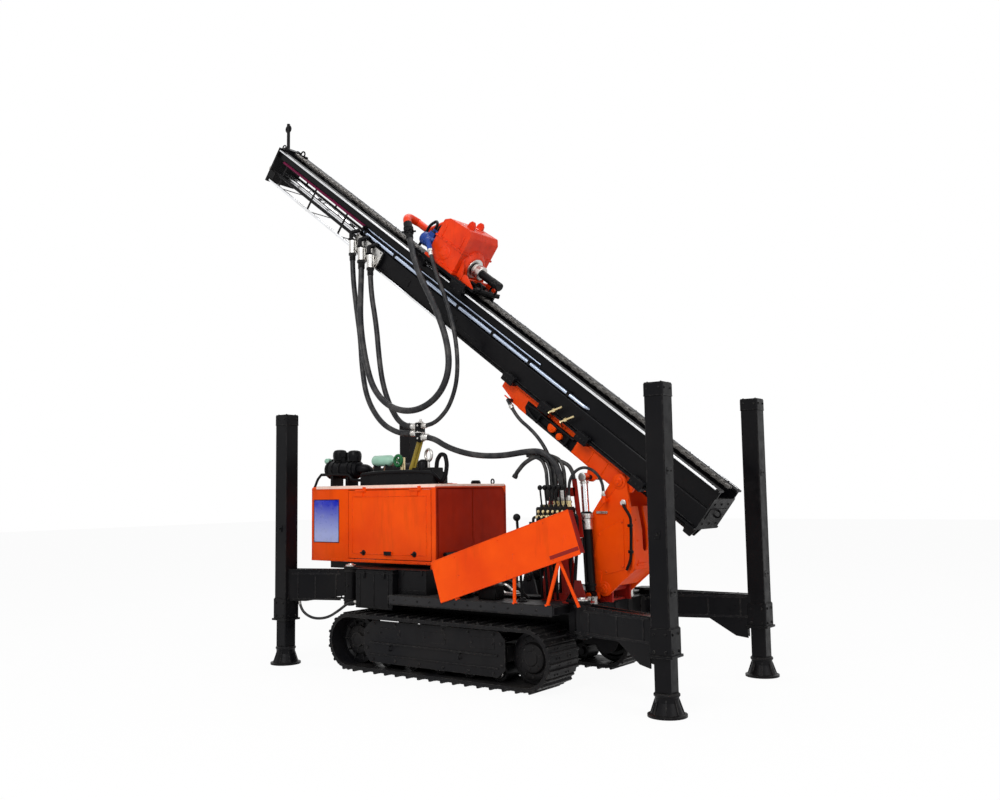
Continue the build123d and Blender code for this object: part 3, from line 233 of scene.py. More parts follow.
def coated(name, colour, dark, rough, wear, grime=0.35, edge=0.7, dust=0.25, dust_colour=(0.30, 0.25, 0.20),
           outer=None, specular=0.22):
    """Paint over steel: blotches, runs of grime, dust on top faces and worn edges.

    outer is a pair: the distance from the middle plane, and the colour beyond it.
    """
    material, tree, shader = node_tree(name)
    blotch = ramp(tree, noise(tree, 2.3, 5.0), 0.35, 0.70)
    base = mixed(tree, blotch, colour, dark)
    runs = ramp(tree, noise(tree, 9.0, 6.0, (1.0, 1.0, 0.16), 0.65), 0.52, 0.75)
    base = mixed(tree, both(tree, runs, grime), base, tuple(c * 0.35 for c in colour))
    dusty = both(tree, upward(tree), ramp(tree, noise(tree, 5.0, 6.0), 0.35, 0.7))
    base = mixed(tree, both(tree, dusty, dust), base, dust_colour)
    chipped = both(tree, edge_mask(tree, 0.005), ramp(tree, noise(tree, 38.0, 3.0), 0.45, 0.62))
    base = mixed(tree, both(tree, chipped, edge), base, wear)
    if outer:
        base = mixed(tree, beyond(tree, outer[0]), base, outer[1])
    patchy = ramp(tree, noise(tree, 14.0, 5.0), 0.3, 0.75, rough - 0.08, rough + 0.18)
    feed(tree, shader, {"Base Color": base, "Roughness": patchy, "Specular IOR Level": specular})
    bump(tree, shader, noise(tree, 210.0, 3.0), 0.16, 0.0012)
    return material


def metal(name, colour, dark, rough, scale=1.0, blemish=0.5):
    """Bare or polished steel with stains."""
    material, tree, shader = node_tree(name)
    stain = ramp(tree, noise(tree, 7.0 * scale, 6.0), 0.48, 0.72)
    base = mixed(tree, both(tree, stain, blemish), colour, dark)
    fine = noise(tree, 90.0 * scale, 3.0)
    uneven = ramp(tree, fine, 0.3, 0.7, rough * 0.7, rough * 1.5)
    feed(tree, shader, {"Metallic": 1.0, "Base Color": base, "Roughness": uneven})
    bump(tree, shader, fine, 0.10, 0.0008)
    return material


def rubber(name, colour, dust):
    material, tree, shader = node_tree(name)
    scuff = ramp(tree, noise(tree, 11.0, 6.0), 0.45, 0.75)
    base = mixed(tree, both(tree, scuff, dust), colour, (0.16, 0.15, 0.14))
    uneven = ramp(tree, noise(tree, 30.0), 0.3, 0.7, 0.34, 0.62)
    feed(tree, shader, {"Base Color": base, "Roughness": uneven, "Specular IOR Level": 0.30})
    bump(tree, shader, noise(tree, 320.0, 2.0), 0.22, 0.0010)
    return material


def treaded(name):
    """Black deck plate with a raised diamond pattern."""
    material = coated(name, (0.008, 0.008, 0.010), (0.015, 0.014, 0.015), 0.40, (0.14, 0.13, 0.12), 0.35, 0.6,
                      0.14, (0.10, 0.09, 0.08))
    tree = material.node_tree
    place = add(tree, "TexCoord").outputs["Object"]
    heights = []
    for angle in (45, -45):
        turn = (0, 0, radians(angle))
        mapping = add(tree, "Mapping", {"Rotation": turn, "Vector": place})
        wave = add(tree, "TexWave", {"Scale": 9.0, "Distortion": 0.0, "Vector": mapping.outputs["Vector"]})
        heights.append(ramp(tree, wave.outputs["Fac"], 0.78, 0.96))
    bump(tree, tree.nodes["Principled BSDF"], both(tree, *heights), 0.7, 0.004)
    return material


def blank_plate(name, top, bottom, from_z, to_z):
    """A printed plate with nothing on it but a soft fade from one colour to another."""
    material, tree, shader = node_tree(name)
    fade = ramp(tree, along(tree, "Z"), from_z, to_z)
    scuff = ramp(tree, noise(tree, 16.0, 6.0), 0.5, 0.8)
    base = mixed(tree, fade, bottom, top)
    base = mixed(tree, both(tree, scuff, 0.25), base, (0.35, 0.36, 0.40))
    uneven = ramp(tree, noise(tree, 25.0), 0.3, 0.7, 0.22, 0.42)
    feed(tree, shader, {"Base Color": base, "Roughness": uneven})
    bump(tree, shader, noise(tree, 120.0), 0.06, 0.0006)
    return material


# Coats: colour, blotches, roughness, worn edges' colour; then the shares of grime, worn edges and dust
BLACK = coated("black_coat", (0.0024, 0.0024, 0.0034), (0.006, 0.0055, 0.006), 0.34, (0.07, 0.065, 0.06),
               0.45, 0.7, 0.06, (0.06, 0.055, 0.05), specular=0.10)
DARK = coated("dark_steel_coat", (0.0045, 0.0045, 0.006), (0.011, 0.010, 0.010), 0.44, (0.12, 0.11, 0.10),
              0.45, 0.7, 0.13, (0.09, 0.08, 0.07), specular=0.11)
ORANGE = coated("orange_coat", (0.94, 0.088, 0.001), (0.80, 0.056, 0.001), 0.38, (0.12, 0.030, 0.012),
                0.30, 0.7, 0.06, specular=0.12)
# Dark red of the hood's front face: partly its own darker paint, partly painted shade of a face turned away
# from the lamps.
SHADE_RED = coated("hood_front_coat_and_shade", (0.44, 0.020, 0.002), (0.30, 0.012, 0.002), 0.45, (0.05, 0.02, 0.01),
                   0.4, 0.6, 0.1, specular=0.05)
# Painted highlight: near-white orange with a strong sheen, for hood edges that catch the light.
HIGHLIGHT_ORANGE = coated("painted_highlight_edge_coat", (0.98, 0.72, 0.62), (0.96, 0.62, 0.50), 0.25, (0.6, 0.3, 0.2), 0.2,
                     0.4, 0.05, specular=0.6)
CRADLE_ORANGE = coated("cradle_coat", (0.92, 0.078, 0.001), (0.78, 0.048, 0.001), 0.38,
                       (0.12, 0.030, 0.012), 0.35, 0.7, 0.08, outer=(0.156, (0.009, 0.009, 0.011)))
HEAD_ORANGE = coated("head_coat", (0.86, 0.052, 0.004), (0.60, 0.024, 0.003), 0.34, (0.08, 0.02, 0.01),
                     0.5, 0.8, 0.10)
RED = coated("dark_red_coat", (0.34, 0.012, 0.006), (0.20, 0.008, 0.005), 0.38, (0.07, 0.02, 0.015), 0.5,
             0.8, 0.12)
BLUE = coated("blue_coat", (0.012, 0.055, 0.30), (0.010, 0.030, 0.15), 0.35, (0.30, 0.30, 0.32), 0.4, 0.7,
              0.2)
DECK = treaded("deck_plate")
POLISHED = metal("polished_rod_metal", (0.86, 0.87, 0.89), (0.50, 0.48, 0.45), 0.14, blemish=0.35)
STEEL = metal("bare_steel_metal", (0.60, 0.59, 0.57), (0.24, 0.17, 0.12), 0.34)
CHAIN = metal("chain_metal", (0.20, 0.19, 0.18), (0.06, 0.045, 0.035), 0.42, 2.0)
IRON = metal("engine_iron_metal", (0.30, 0.30, 0.31), (0.12, 0.10, 0.09), 0.55)
HOSE = rubber("hose_rubber_black", (0.005, 0.005, 0.007), 0.35)
RUBBER = rubber("soft_black", (0.007, 0.007, 0.008), 0.5)
# Painted highlight: the black pipes along the mast are coloured the pale blue of the light they catch.
HIGHLIGHT_TUBE = metal("pipe_painted_highlight_blue", (0.46, 0.53, 0.66), (0.14, 0.16, 0.22), 0.22, blemish=0.5)
BRASS = metal("zinc_yellow_fittings", (0.72, 0.60, 0.34), (0.35, 0.24, 0.12), 0.28, 2.0)
MAROON = coated("maroon_coat", (0.16, 0.004, 0.045), (0.10, 0.003, 0.03), 0.40, (0.1, 0.05, 0.06), 0.4,
                0.6, 0.08, specular=0.12)
PLATE_BLUE = blank_plate("blank_blue_plate", (0.008, 0.020, 0.50), (0.40, 0.45, 0.80), 1.15, 1.42)
PALE_GREEN = coated("pale_green_coat", (0.42, 0.66, 0.52), (0.26, 0.50, 0.38), 0.30, (0.3, 0.3, 0.28), 0.4,
                    0.5, 0.1)
GREEN = coated("green_coat", (0.010, 0.16, 0.04), (0.008, 0.09, 0.03), 0.34, (0.2, 0.2, 0.18), 0.4, 0.5, 0.1)
OLIVE = coated("olive_yellow_coat", (0.34, 0.25, 0.03), (0.16, 0.11, 0.02), 0.42, (0.14, 0.10, 0.05), 0.5,
               0.7, 0.1)
RUSTY = metal("heat_browned_metal", (0.20, 0.11, 0.07), (0.07, 0.03, 0.02), 0.55)

# The finish of each of the record's slots, and the slot of each finish
FINISHES = {
    "black_steel": BLACK, "dark_steel": DARK, "orange_paint": ORANGE, "red_paint": RED, "blue_paint": BLUE,
    "polished_rod": POLISHED, "bare_steel": STEEL, "chain_steel": CHAIN, "engine_iron": IRON,
    "hose_rubber": HOSE,
}
SLOT_OF = {material: slot for slot, material in FINISHES.items()}
SLOT_OF.update({HEAD_ORANGE: "orange_paint", HIGHLIGHT_ORANGE: "orange_paint", SHADE_RED: "red_paint",
                MAROON: "red_paint", PLATE_BLUE: "blue_paint", HIGHLIGHT_TUBE: "polished_rod",
                RUBBER: "hose_rubber"})
SLOT_OF.update({material: "bare_steel" for material in (BRASS, RUSTY, PALE_GREEN, GREEN, OLIVE)})


# Mesh building
def circle(centre, axis, across, radius, sides):
    """Points round an axis, the first of them in the direction across."""
    other = axis.cross(across)
    turns = [2 * pi * k / sides for k in range(sides)]
    return [centre + (across * cos(t) + other * sin(t)) * radius for t in turns]


class Shape:
    """A mesh put together from closed forms; points go through place() into the row frame."""

    def __init__(self, place=machine):
        self.bm = bmesh.new()
        self.place = place

    def add(self, points, faces):
        verts = [self.bm.verts.new(self.place(*p)) for p in points]
        for face in faces:
            self.bm.faces.new([verts[i] for i in face])

    def skin(self, rings):
        """A closed form through rings of points, flat at both ends."""
        n = len(rings[0])
        last = (len(rings) - 1) * n
        faces = [[r + k, r + (k + 1) % n, r + n + (k + 1) % n, r + n + k]
                 for r, k in product(range(0, last, n), range(n))]
        self.add([p for ring in rings for p in ring], faces + [list(range(n)), list(range(last, last + n))])

    def box(self, x, y, z, bevel=2.0):
        """A box with chamfered edges between the pairs x, y and z."""
        ends = [(min(p), max(p)) for p in (x, y, z)]
        inset = min(bevel, *(0.45 * (b - a) for a, b in ends))
        corners = list(product((0, 1), repeat=3))
        points = []
        index = {}
        for corner, axis in product(corners, range(3)):
            index[corner, axis] = len(points)
            inward = [0 if a == axis else -inset if corner[a] else inset for a in range(3)]
            points.append([ends[a][corner[a]] + inward[a] for a in range(3)])
        faces = [[index[corner, axis] for axis in range(3)] for corner in corners]
        for axis in range(3):
            u, v = (a for a in range(3) if a != axis)
            near = [tuple(0 if a == axis else {u: cu, v: cv}[a] for a in range(3)) for cu, cv in
                    ((0, 0), (1, 0), (1, 1), (0, 1))]
            far = [tuple(1 if a == axis else c[a] for a in range(3)) for c in near]
            faces += [[index[c, axis] for c in near], [index[c, axis] for c in far]]
            faces += [[index[c, u], index[d, u], index[d, v], index[c, v]] for c, d in zip(near, far)]
        self.add(points, faces)

    def turned(self, at, way, profile, sides=24):
        """A turned form about the way axis; profile rows are (distance, radius)."""
        at, axis = Vector(at), Vector(way).normalized()
        across = axis.orthogonal().normalized()
        self.skin([circle(at + axis * distance, axis, across, radius, sides) for distance, radius in profile])

    def rod(self, start, end, radius, sides=20):
        way = Vector(end) - Vector(start)
        length = way.length
        e = min(1.5, radius * 0.3, length * 0.3)
        profile = [(0, radius - e), (e, radius), (length - e, radius), (length, radius - e)]
        self.turned(start, way, profile, sides)

    def bolt(self, at, way, size=11.0, washer=True):
        """Hex head on its washer; way points out of the surface."""
        if washer:
            rim = size * 1.05
            self.turned(at, way, [(-0.5, rim), (size * 0.16, rim), (size * 0.22, size * 0.98)], 14)
        self.turned(at, way, [(0, size * 0.86), (size * 0.62, size * 0.86), (size * 0.74, size * 0.70)], 6)

    def bolts(self, x, y, z, way, size=11.0, washer=True):
        """A bolt at each combination of the places along the three axes."""
        for at in product(*(a if hasattr(a, "__iter__") else (a,) for a in (x, y, z))):
            self.bolt(at, way, size, washer)

    def bolt_ring(self, at, way, radius, count, turn, size=11.0, washer=True):
        """Bolts on a circle about an axis of the shape's frame, the first at turn degrees."""
        u, v = (a for a in range(3) if not way[a])
        for k in range(count):
            a = radians(turn + 360 * k / count)
            p = list(at)
            p[u] += radius * cos(a)
            p[v] += radius * sin(a)
            self.bolt(p, way, size, washer)

    def plate(self, outline, axis, at, thick, bevel=1.5):
        """A flat plate: outline pairs lie in the plane across axis, at..at+thick along it."""
        n = len(outline)
        cx = sum(p[0] for p in outline) / n
        cy = sum(p[1] for p in outline) / n
        rings = []
        for level, inset in ((at, bevel), (at + bevel, 0), (at + thick - bevel, 0), (at + thick, bevel)):
            ring = []
            for px, py in outline:
                d = hypot(px - cx, py - cy) or 1
                p = [px - (px - cx) / d * inset, py - (py - cy) / d * inset]
                p.insert(axis, level)
                ring.append(p)
            rings.append(ring)
        self.skin(rings)

    def pipe(self, route, radius, sides=12):
        """A bent pipe through the route's points, eased at its corners."""
        pts = [Vector(p) for p in route]
        line = [pts[0]]
        for a, b, c in zip(pts, pts[1:], pts[2:]):
            reach = min((b - a).length, (c - b).length) * 0.42
            p, q = b + (a - b).normalized() * reach, b + (c - b).normalized() * reach
            for t in (k / 8 for k in range(9)):
                line.append(p * (1 - t) ** 2 + b * 2 * t * (1 - t) + q * t * t)
        line.append(pts[-1])
        self.follow(line, radius, sides)

    def follow(self, line, radius, sides=12):
        rings = []
        across = None
        for k, p in enumerate(line):
            ahead = (line[min(k + 1, len(line) - 1)] - line[max(k - 1, 0)]).normalized()
            if across is None:
                across = ahead.orthogonal().normalized()
            across = (across - ahead * across.dot(ahead)).normalized()
            rings.append(circle(p, ahead, across, radius, sides))
        self.skin(rings)

    def ring(self, at, way, radius, thick, sides=28, around=10):
        """A round ring (torus) about the way axis."""
        a, w = Vector(at), Vector(way).normalized()
        points = []
        for out in circle(Vector(), w, w.orthogonal().normalized(), 1, sides):
            for j in range(around):
                q = 2 * pi * j / around
                points.append(a + out * (radius + thick * cos(q)) + w * thick * sin(q))
        faces = []
        for k, j in product(range(sides), range(around)):
            m, i = (k + 1) % sides, (j + 1) % around
            faces.append([k * around + j, m * around + j, m * around + i, k * around + i])
        self.add(points, faces)

    def made(self, name, material):
        """The finished object, not yet on a body."""
        bmesh.ops.recalc_face_normals(self.bm, faces=self.bm.faces)
        mesh = bpy.data.meshes.new(name)
        self.bm.to_mesh(mesh)
        self.bm.free()
        mesh.materials.append(material)
        smooth_by_angle(mesh)
        return placed(name, mesh)

    def done(self, name, body, material):
        """The finished piece on its body."""
        piece = self.made(name, material)
        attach(piece, body)
        return piece


def smooth_by_angle(mesh):
    """Shade smooth, with edges sharper than 38 degrees left crisp."""
    mesh.polygons.foreach_set("use_smooth", [True] * len(mesh.polygons))
    bm = bmesh.new()
    bm.from_mesh(mesh)
    for edge in bm.edges:
        edge.smooth = not (edge.is_manifold and edge.calc_face_angle(0) > radians(38.0))
    bm.to_mesh(mesh)
    bm.free()


# Stage
WORLD_LIGHT = 0.42
FLOOR_GLOW = 0.94
FLOOR_HALF = 40.0


def add_area(name, at, aim, size, power):
    data = bpy.data.lights.new(name, "AREA")
    data.shape = "SQUARE"
    data.size = size
    data.energy = power
    lamp = placed(name, data)
    lamp.location = at
    lamp.rotation_euler = (Vector(aim) - Vector(at)).to_track_quat("-Z", "Y").to_euler()


def seen(tree):
    """1 where the camera or a mirror looks, and the node of the light paths."""
    paths = add(tree, "LightPath")
    return maths(tree, "MAXIMUM", paths.outputs["Is Camera Ray"], paths.outputs["Is Glossy Ray"]), paths


def add_stage():
    """Pale floor and world; both read as white where the camera or a mirror sees them."""
    world = bpy.data.worlds.new("studio")
    bpy.context.scene.world = world
    world.use_nodes = True
    tree = world.node_tree
    looked_at, paths = seen(tree)
    looked_at = maths(tree, "MAXIMUM", looked_at, paths.outputs["Is Transmission Ray"])
    strength = ramp(tree, looked_at, 0.0, 1.0, WORLD_LIGHT, 1.0)
    feed(tree, tree.nodes["Background"], {"Color": (1, 1, 1, 1), "Strength": strength})
    floor_mesh = bpy.data.meshes.new("floor")
    corners = [(x * FLOOR_HALF, y * FLOOR_HALF, 0) for x, y in ((-1, -1), (1, -1), (1, 1), (-1, 1))]
    floor_mesh.from_pydata(corners, [], [(0, 1, 2, 3)])
    floor = placed("floor", floor_mesh)
    material, tree, shader = node_tree("pale_floor")
    tint = ramp(tree, noise(tree, 1.5), 0.3, 0.7)
    grey = mixed(tree, tint, (0.90, 0.90, 0.90), (0.93, 0.93, 0.93))
    feed(tree, shader, {"Roughness": 0.9, "Base Color": grey})
    glow = add(tree, "Emission")
    blend = add(tree, "MixShader")
    share = both(tree, seen(tree)[0], FLOOR_GLOW)
    feed(tree, blend, {"Fac": share, 1: shader.outputs["BSDF"], 2: glow.outputs["Emission"]})
    tree.links.new(blend.outputs["Shader"], tree.nodes["Material Output"].inputs["Surface"])
    floor_mesh.materials.append(material)
    add_area("key", (2.5, -8.5, 8.0), (0, 0, 1.6), 5.0, 520)
    add_area("front_fill", (9.0, -2.0, 4.5), (0, 0, 1.8), 5.0, 190)
    add_area("top", (-1.0, 1.5, 10.0), (0, 0, 1.5), 6.0, 300)
    bpy.context.scene.view_settings.view_transform = "Standard"


# Finishes on the frame's own pieces
OWN_FINISH = {
    "right_fender": DECK, "left_fender": DECK, "front_deck": DECK, "rotary_gearbox": HEAD_ORANGE,
    "drive_motors": BLUE, "swivel": HEAD_ORANGE, "head_carriage": BLACK, "slide_cylinder_rod": DARK,
    "cradle": CRADLE_ORANGE,
}


def finish_frame():
    for part in frame["record"]["subparts"]:
        materials = frame["nodes"][part["node"]].data.materials
        materials.clear()
        materials.append(OWN_FINISH.get(part["node"], FINISHES[part["material_slot"]]))


add_camera()
add_stage()
finish_frame()


# Hoses
CLAMP_S = (4100.0, 4250.0, 4400.0)
CLAMP_Y = 264.0
CLAMP_N = 45.0
CLAMP_DROP = 60.0
AIR_HOSE_EXIT = (-945.0, -215.0, 3945.0)
AIR_HOSE_NEXT = (-875, -265, 3790)
OIL_HOSE_EXIT = (-640.0, -270.0, 3715.0)
CRADLE_PORT = (225.0, -248.0, 2235.0)
BOOM_PORT = (1100.0, -240.0, 1470.0)


def clamp_end(k, below=0.0):
    """Lower face of one collar of the mast's hose bracket, or a point under it."""
    x, z = mast_xz(CLAMP_S[k], CLAMP_N)
    return (x, -CLAMP_Y, z - CLAMP_DROP + below)


# name, body it rides on, bodies of its two end fittings, length and diameter in metres, route's points
HOSES = (
    ("head_air_hose", "mast", ("rotary_head", "mast"), 4.11, 0.056, (
        AIR_HOSE_EXIT, AIR_HOSE_NEXT, (-720, -350, 3510), (-460, -425, 3160), (-285, -470, 2830),
        (-225, -510, 2550), (-320, -545, 2330), (-560, -562, 2215), (-850, -560, 2255), (-1090, -545, 2440),
        (-1225, -515, 2740), (-1350, -450, 3100), (-1452, -340, 3400), clamp_end(1, -130), clamp_end(1))),
    ("head_oil_hose", "mast", ("rotary_head", "chassis"), 1.909, 0.038, (
        OIL_HOSE_EXIT, (-570, -300, 3530), (-395, -335, 3205), (-260, -370, 2830), (-225, -400, 2500),
        (-290, -425, 2270), (-400, -440, 2150), (-510, -448, 2100), (-600, -448, 2100))),
    ("mast_long_hose", "mast", ("mast", "chassis"), 2.291, 0.050, (
        clamp_end(2), clamp_end(2, -200), (-1525, -320, 3260), (-1425, -370, 2980), (-1375, -400, 2680),
        (-1285, -430, 2385), (-1090, -450, 2150), (-880, -450, 2050), (-740, -450, 2040),
        (-640, -450, 2040))),
    ("mast_short_hose", "mast", ("mast", "chassis"), 1.877, 0.050, (
        clamp_end(0), clamp_end(0, -200), (-1265, -320, 3080), (-1190, -370, 2800), (-1115, -405, 2540),
        (-1010, -432, 2330), (-905, -446, 2190), (-830, -448, 2130), (-735, -448, 2098), (-640, -448, 2098))),
    ("deck_hose", "chassis", ("chassis", "chassis"), 1.749, 0.050, (
        (-600, -448, 2000), (-490, -448, 2000), (-300, -450, 1895), (-30, -450, 1822), (260, -450, 1805),
        (530, -450, 1836), (665, -450, 1830), (762, -440, 1765), (812, -418, 1655), (820, -400, 1540),
        (820, -400, 1440))),
    ("cradle_hose", "chassis", ("chassis", "cradle"), 1.037, 0.030, (
        (760, -400, 1440), (760, -400, 1560), (735, -400, 1720), (645, -385, 1880), (515, -360, 2010),
        (345, -334, 2125), CRADLE_PORT)),
    ("boom_hose", "chassis", ("chassis", "boom"), 0.615, 0.024, (
        (880, -400, 1440), (880, -400, 1530), (892, -397, 1605), (930, -378, 1670), (990, -345, 1700),
        (1052, -302, 1672), (1090, -262, 1605), (1100, -240, 1535), BOOM_PORT)),
    ("leg_hose", "chassis", ("rear_right_outrigger", "chassis"), 0.768, 0.024, (
        (-1780, -794, 564), (-1768, -790, 498), (-1705, -784, 440), (-1600, -772, 408), (-1450, -758, 425),
        (-1330, -734, 495), (-1262, -710, 550), (-1200, -700, 575), (-1138, -700, 575))),
)


def hose_curve(name, route):
    """One smooth open line with the route's points as its control points."""
    curve = bpy.data.curves.new(name, "CURVE")
    curve.dimensions = "3D"
    spline = curve.splines.new("NURBS")
    spline.points.add(len(route) - 1)
    for point, place in zip(spline.points, route):
        point.co = (*machine(*place), 1)
    spline.order_u = 3
    spline.use_endpoint_u = True
    curve.resolution_u = 14
    return placed(name, curve)


def hose_end(start, toward, r, name, body, finish):
    """Hex nut and crimped sleeve at one end of a hose of radius r."""
    fitting = Shape()
    a = Vector(start)
    way = (Vector(toward) - a).normalized()
    fitting.turned(a, way, [(-2, r * 1.45), (0, r * 1.5), (r * 0.9, r * 1.5), (r, r * 1.4)], 6)
    fitting.turned(a, way, [(0, r * 1.05), (r * 1.1, r * 1.16), (r * 2.9, r * 1.16), (r * 3.1, r * 1.02)], 20)
    for k in range(4):
        fitting.ring(a + way * r * (1.35 + 0.4 * k), way, r * 1.15, r * 0.07, 20, 6)
    fitting.done(name, body, finish)


def hoses():
    for name, body, end_bodies, length, diameter, route in HOSES:
        obj = hose_curve(name + "_line", route)
        path = None
        if name == "head_air_hose":
            line = bpy.data.meshes.new_from_object(obj)
            path = [v.co.copy() for v in line.vertices]
            bpy.data.objects.remove(obj)
            bpy.data.meshes.remove(line)
            tube = Shape(lambda x, y, z: Vector((x, y, z)))
            tube.follow(path, diameter / 2, 18)
            obj = tube.made(name + "_tube", HOSE)
            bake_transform(obj)
        else:
            obj.data.bevel_depth = diameter / 2
            obj.data.bevel_resolution = 5
            obj.data.use_fill_caps = True
            obj.data.materials.append(HOSE)
            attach(obj, body)
        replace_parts(obj, name)
        for at, toward, end, end_body in ((0, 1, "_start", end_bodies[0]), (-1, -2, "_end", end_bodies[1])):
            finish = BLACK if end_body == "mast" or name == "head_air_hose" else STEEL
            hose_end(route[at], route[toward], diameter * 500, name + end + "_fitting", end_body, finish)


hoses()


# Crawlers
TRACK_Y = 600.0
TRACK_HALF_WIDTH = 202.0
IDLER_X = -1150.0
SPROCKET_X = 700.0
WHEEL_Z = 250.0
LINK_R = 230.0
SHOES = 42
GUARD_FACE = 760.0
GUARD_BOLTS = ((-960, 210), (-960, 330), (-880, 415), (-640, 415), (-380, 415), (-120, 415), (140, 415),
               (390, 415), (465, 350), (465, 180), (390, 118), (140, 118), (-120, 118), (-380, 118),
               (-640, 118), (-890, 118))


def round_end(x, a):
    return x + LINK_R * cos(radians(a)), WHEEL_Z + LINK_R * sin(radians(a)), a


def track_station(d):
    """X, Z and outward direction of the belt's outer line at a distance along it."""
    span = SPROCKET_X - IDLER_X
    turn = pi * LINK_R
    if d < span:
        return IDLER_X + d, WHEEL_Z - LINK_R, -90.0
    if d < span + turn:
        return round_end(SPROCKET_X, degrees((d - span) / LINK_R) - 90.0)
    if d < 2 * span + turn:
        return SPROCKET_X - (d - span - turn), WHEEL_Z + LINK_R, 90.0
    return round_end(IDLER_X, degrees((d - 2 * span - turn) / LINK_R) + 90.0)


def tracks(side):
    """Shoe plates with their bolts, and the link chain's plates under them."""
    length = 2 * (SPROCKET_X - IDLER_X) + 2 * pi * LINK_R
    wide = TRACK_HALF_WIDTH
    plates = Shape()
    links = Shape()
    for k in range(SHOES):
        x, z, a = track_station((k + 0.5) * length / SHOES)
        out = Vector((cos(radians(a)), 0, sin(radians(a))))
        forward = Vector((-out.z, 0, out.x))
        middle = Vector((x, side * TRACK_Y, z))
        plates.place = lambda u, v, w: machine(*(middle + forward * u + Vector((0, v, 0)) + out * w))
        links.place = plates.place
        plates.box((-57, 57), (-wide, wide), (-15, 4), 4)
        plates.box((40, 57), (-wide + 6, wide - 6), (2, 9), 3)
        plates.bolts((-36, 36), (-96, -58, 58, 96), 4, UP, 9, False)
        for v in (-70, 70):
            links.box((-66, 66), (v - 9, v + 9), (-25, -13), 3)
    plates.done(hand(side) + "_track_shoes", "chassis", DARK)
    links.done(hand(side) + "_track_links", "chassis", CHAIN)


def track_gear(side):
    """Guard plate's bolts and ribs, hub caps of the idler and the sprocket, roller ends."""
    gear = Shape()
    face = side * GUARD_FACE
    out = (0, side, 0)
    for x, z in GUARD_BOLTS:
        gear.bolt((x, face, z), out, 13)
    for x in (-820, -330, 160):
        gear.box((x, x + 240), (face - side * 2, face + side * 4), (300, 385), 3)
        gear.bolts((x + 18, x + 222), face + side * 4, 342, out, 9, False)
    gear.box((-935, 435), (face, face + side * 7), (152, 166), 3)
    for x in (-690, 60):
        gear.ring((x, face + side * 8, 222), AHEAD, 20, 6)
    y = side * 672.0
    gear.turned((IDLER_X, y, WHEEL_Z), out, [(-8, 120), (2, 118), (6, 108), (6, 60), (12, 54), (26, 50),
                                             (32, 40), (32, 8)], 32)
    gear.bolt_ring((IDLER_X, y + side * 6, WHEEL_Z), out, 86, 8, 0, 10)
    for k in range(10):
        c, s = cos(k * pi / 5), sin(k * pi / 5)
        foot, tip = ((IDLER_X + r * c, side * 664.0, WHEEL_Z + r * s) for r in (128, 182))
        gear.rod(foot, tip, 8, 8)
    y = side * 660.0
    gear.turned((SPROCKET_X, y, WHEEL_Z), out, [(-6, 172), (2, 170), (8, 160), (8, 122), (16, 112), (30, 108),
                                                (36, 98), (36, 60), (44, 52), (44, 6)], 36)
    gear.bolt_ring((SPROCKET_X, y + side * 8, WHEEL_Z), out, 142, 12, 0)
    gear.bolt_ring((SPROCKET_X, y + side * 36, WHEEL_Z), out, 80, 6, degrees(0.3), 9, False)
    gear.done(hand(side) + "_track_gear", "chassis", DARK)
    ends = Shape()
    y = side * 700.0
    for x in (-800, -500, -200, 100, 400):
        ends.turned((x, y, 116), out, [(-4, 40), (6, 38), (10, 30), (22, 28), (26, 20), (26, 4)], 20)
        ends.bolt_ring((x, y + side * 6, 116), out, 30, 4, degrees(0.8), 5, False)
    ends.done(hand(side) + "_roller_ends", "chassis", STEEL)


# Frame, fenders and boxes
RAIL_TOP = 598.0
FENDER_FACE = 780.0
BOX_FACE = 720.0


def fenders(side):
    """Edge lip, bolts and braces of the walkway over one crawler."""
    trim = Shape()
    face = side * FENDER_FACE
    out = (0, side, 0)
    trim.bolts(range(-640, 941, 132), face, DECK_Z - 34, out, 9)
    trim.box((-690, 955), (face + side, face - side * 14), (DECK_Z - 3, DECK_Z + 7), 3)
    trim.box((-690, 955), (face - side * 2, face + side * 5), (DECK_Z - 76, DECK_Z - 64), 3)
    for x in (-640, -60, 560, 900):
        trim.box((x - 5, x + 5), (side * 330, face - side * 10), (DECK_Z - 70, DECK_Z - 10))
    trim.bolts((-560, -190, 180, 550, 900), (side * 340, side * 560, side * 750), DECK_Z, UP, 8)
    for x in (968, -700):
        trim.box((x - 12, x + 2), (side * 330, face), (DECK_Z - 66, DECK_Z - 4), 3)
    trim.done(hand(side) + "_fender_trim", "chassis", DARK)


def boxes(side):
    """Lids, latches, hinges and seams of the boxes behind the fender."""
    trim = Shape()
    face = side * BOX_FACE
    out = (0, side, 0)
    for x in (-1090, -922, -754):
        trim.box((x - 3, x + 3), (face - side, face + side * 5), (548, 822))
    trim.box((-1136, -707), (face - side, face + side * 6), (534, 548))
    for x in (-1040, -806):
        trim.box((x - 16, x + 16), (face, face + side * 11), (786, 846), 3)
        trim.rod((x - 20, face + side * 12, 826), (x + 20, face + side * 12, 826), 5, 10)
        trim.bolt((x, face + side * 11, 798), out, 7, False)
    trim.box((-1146, -697), (side * 300, side * 728), (861, 868), 3)
    trim.bolts((-1120, -722), face, (570, 640, 710, 780), out, 6, False)
    trim.box((-688, -382), (side * 332, side * 664), (861, 867), 3)
    for x in (-640, -430):
        trim.box((x - 12, x + 12), (side * 658, side * 667), (820, 862))
    trim.box((-676, -394), (side * 656, side * 663), (690, 700))
    trim.bolts(range(-660, -399, 65), side * 660, 675, out, 6, False)
    trim.done(hand(side) + "_box_trim", "chassis", BLACK)


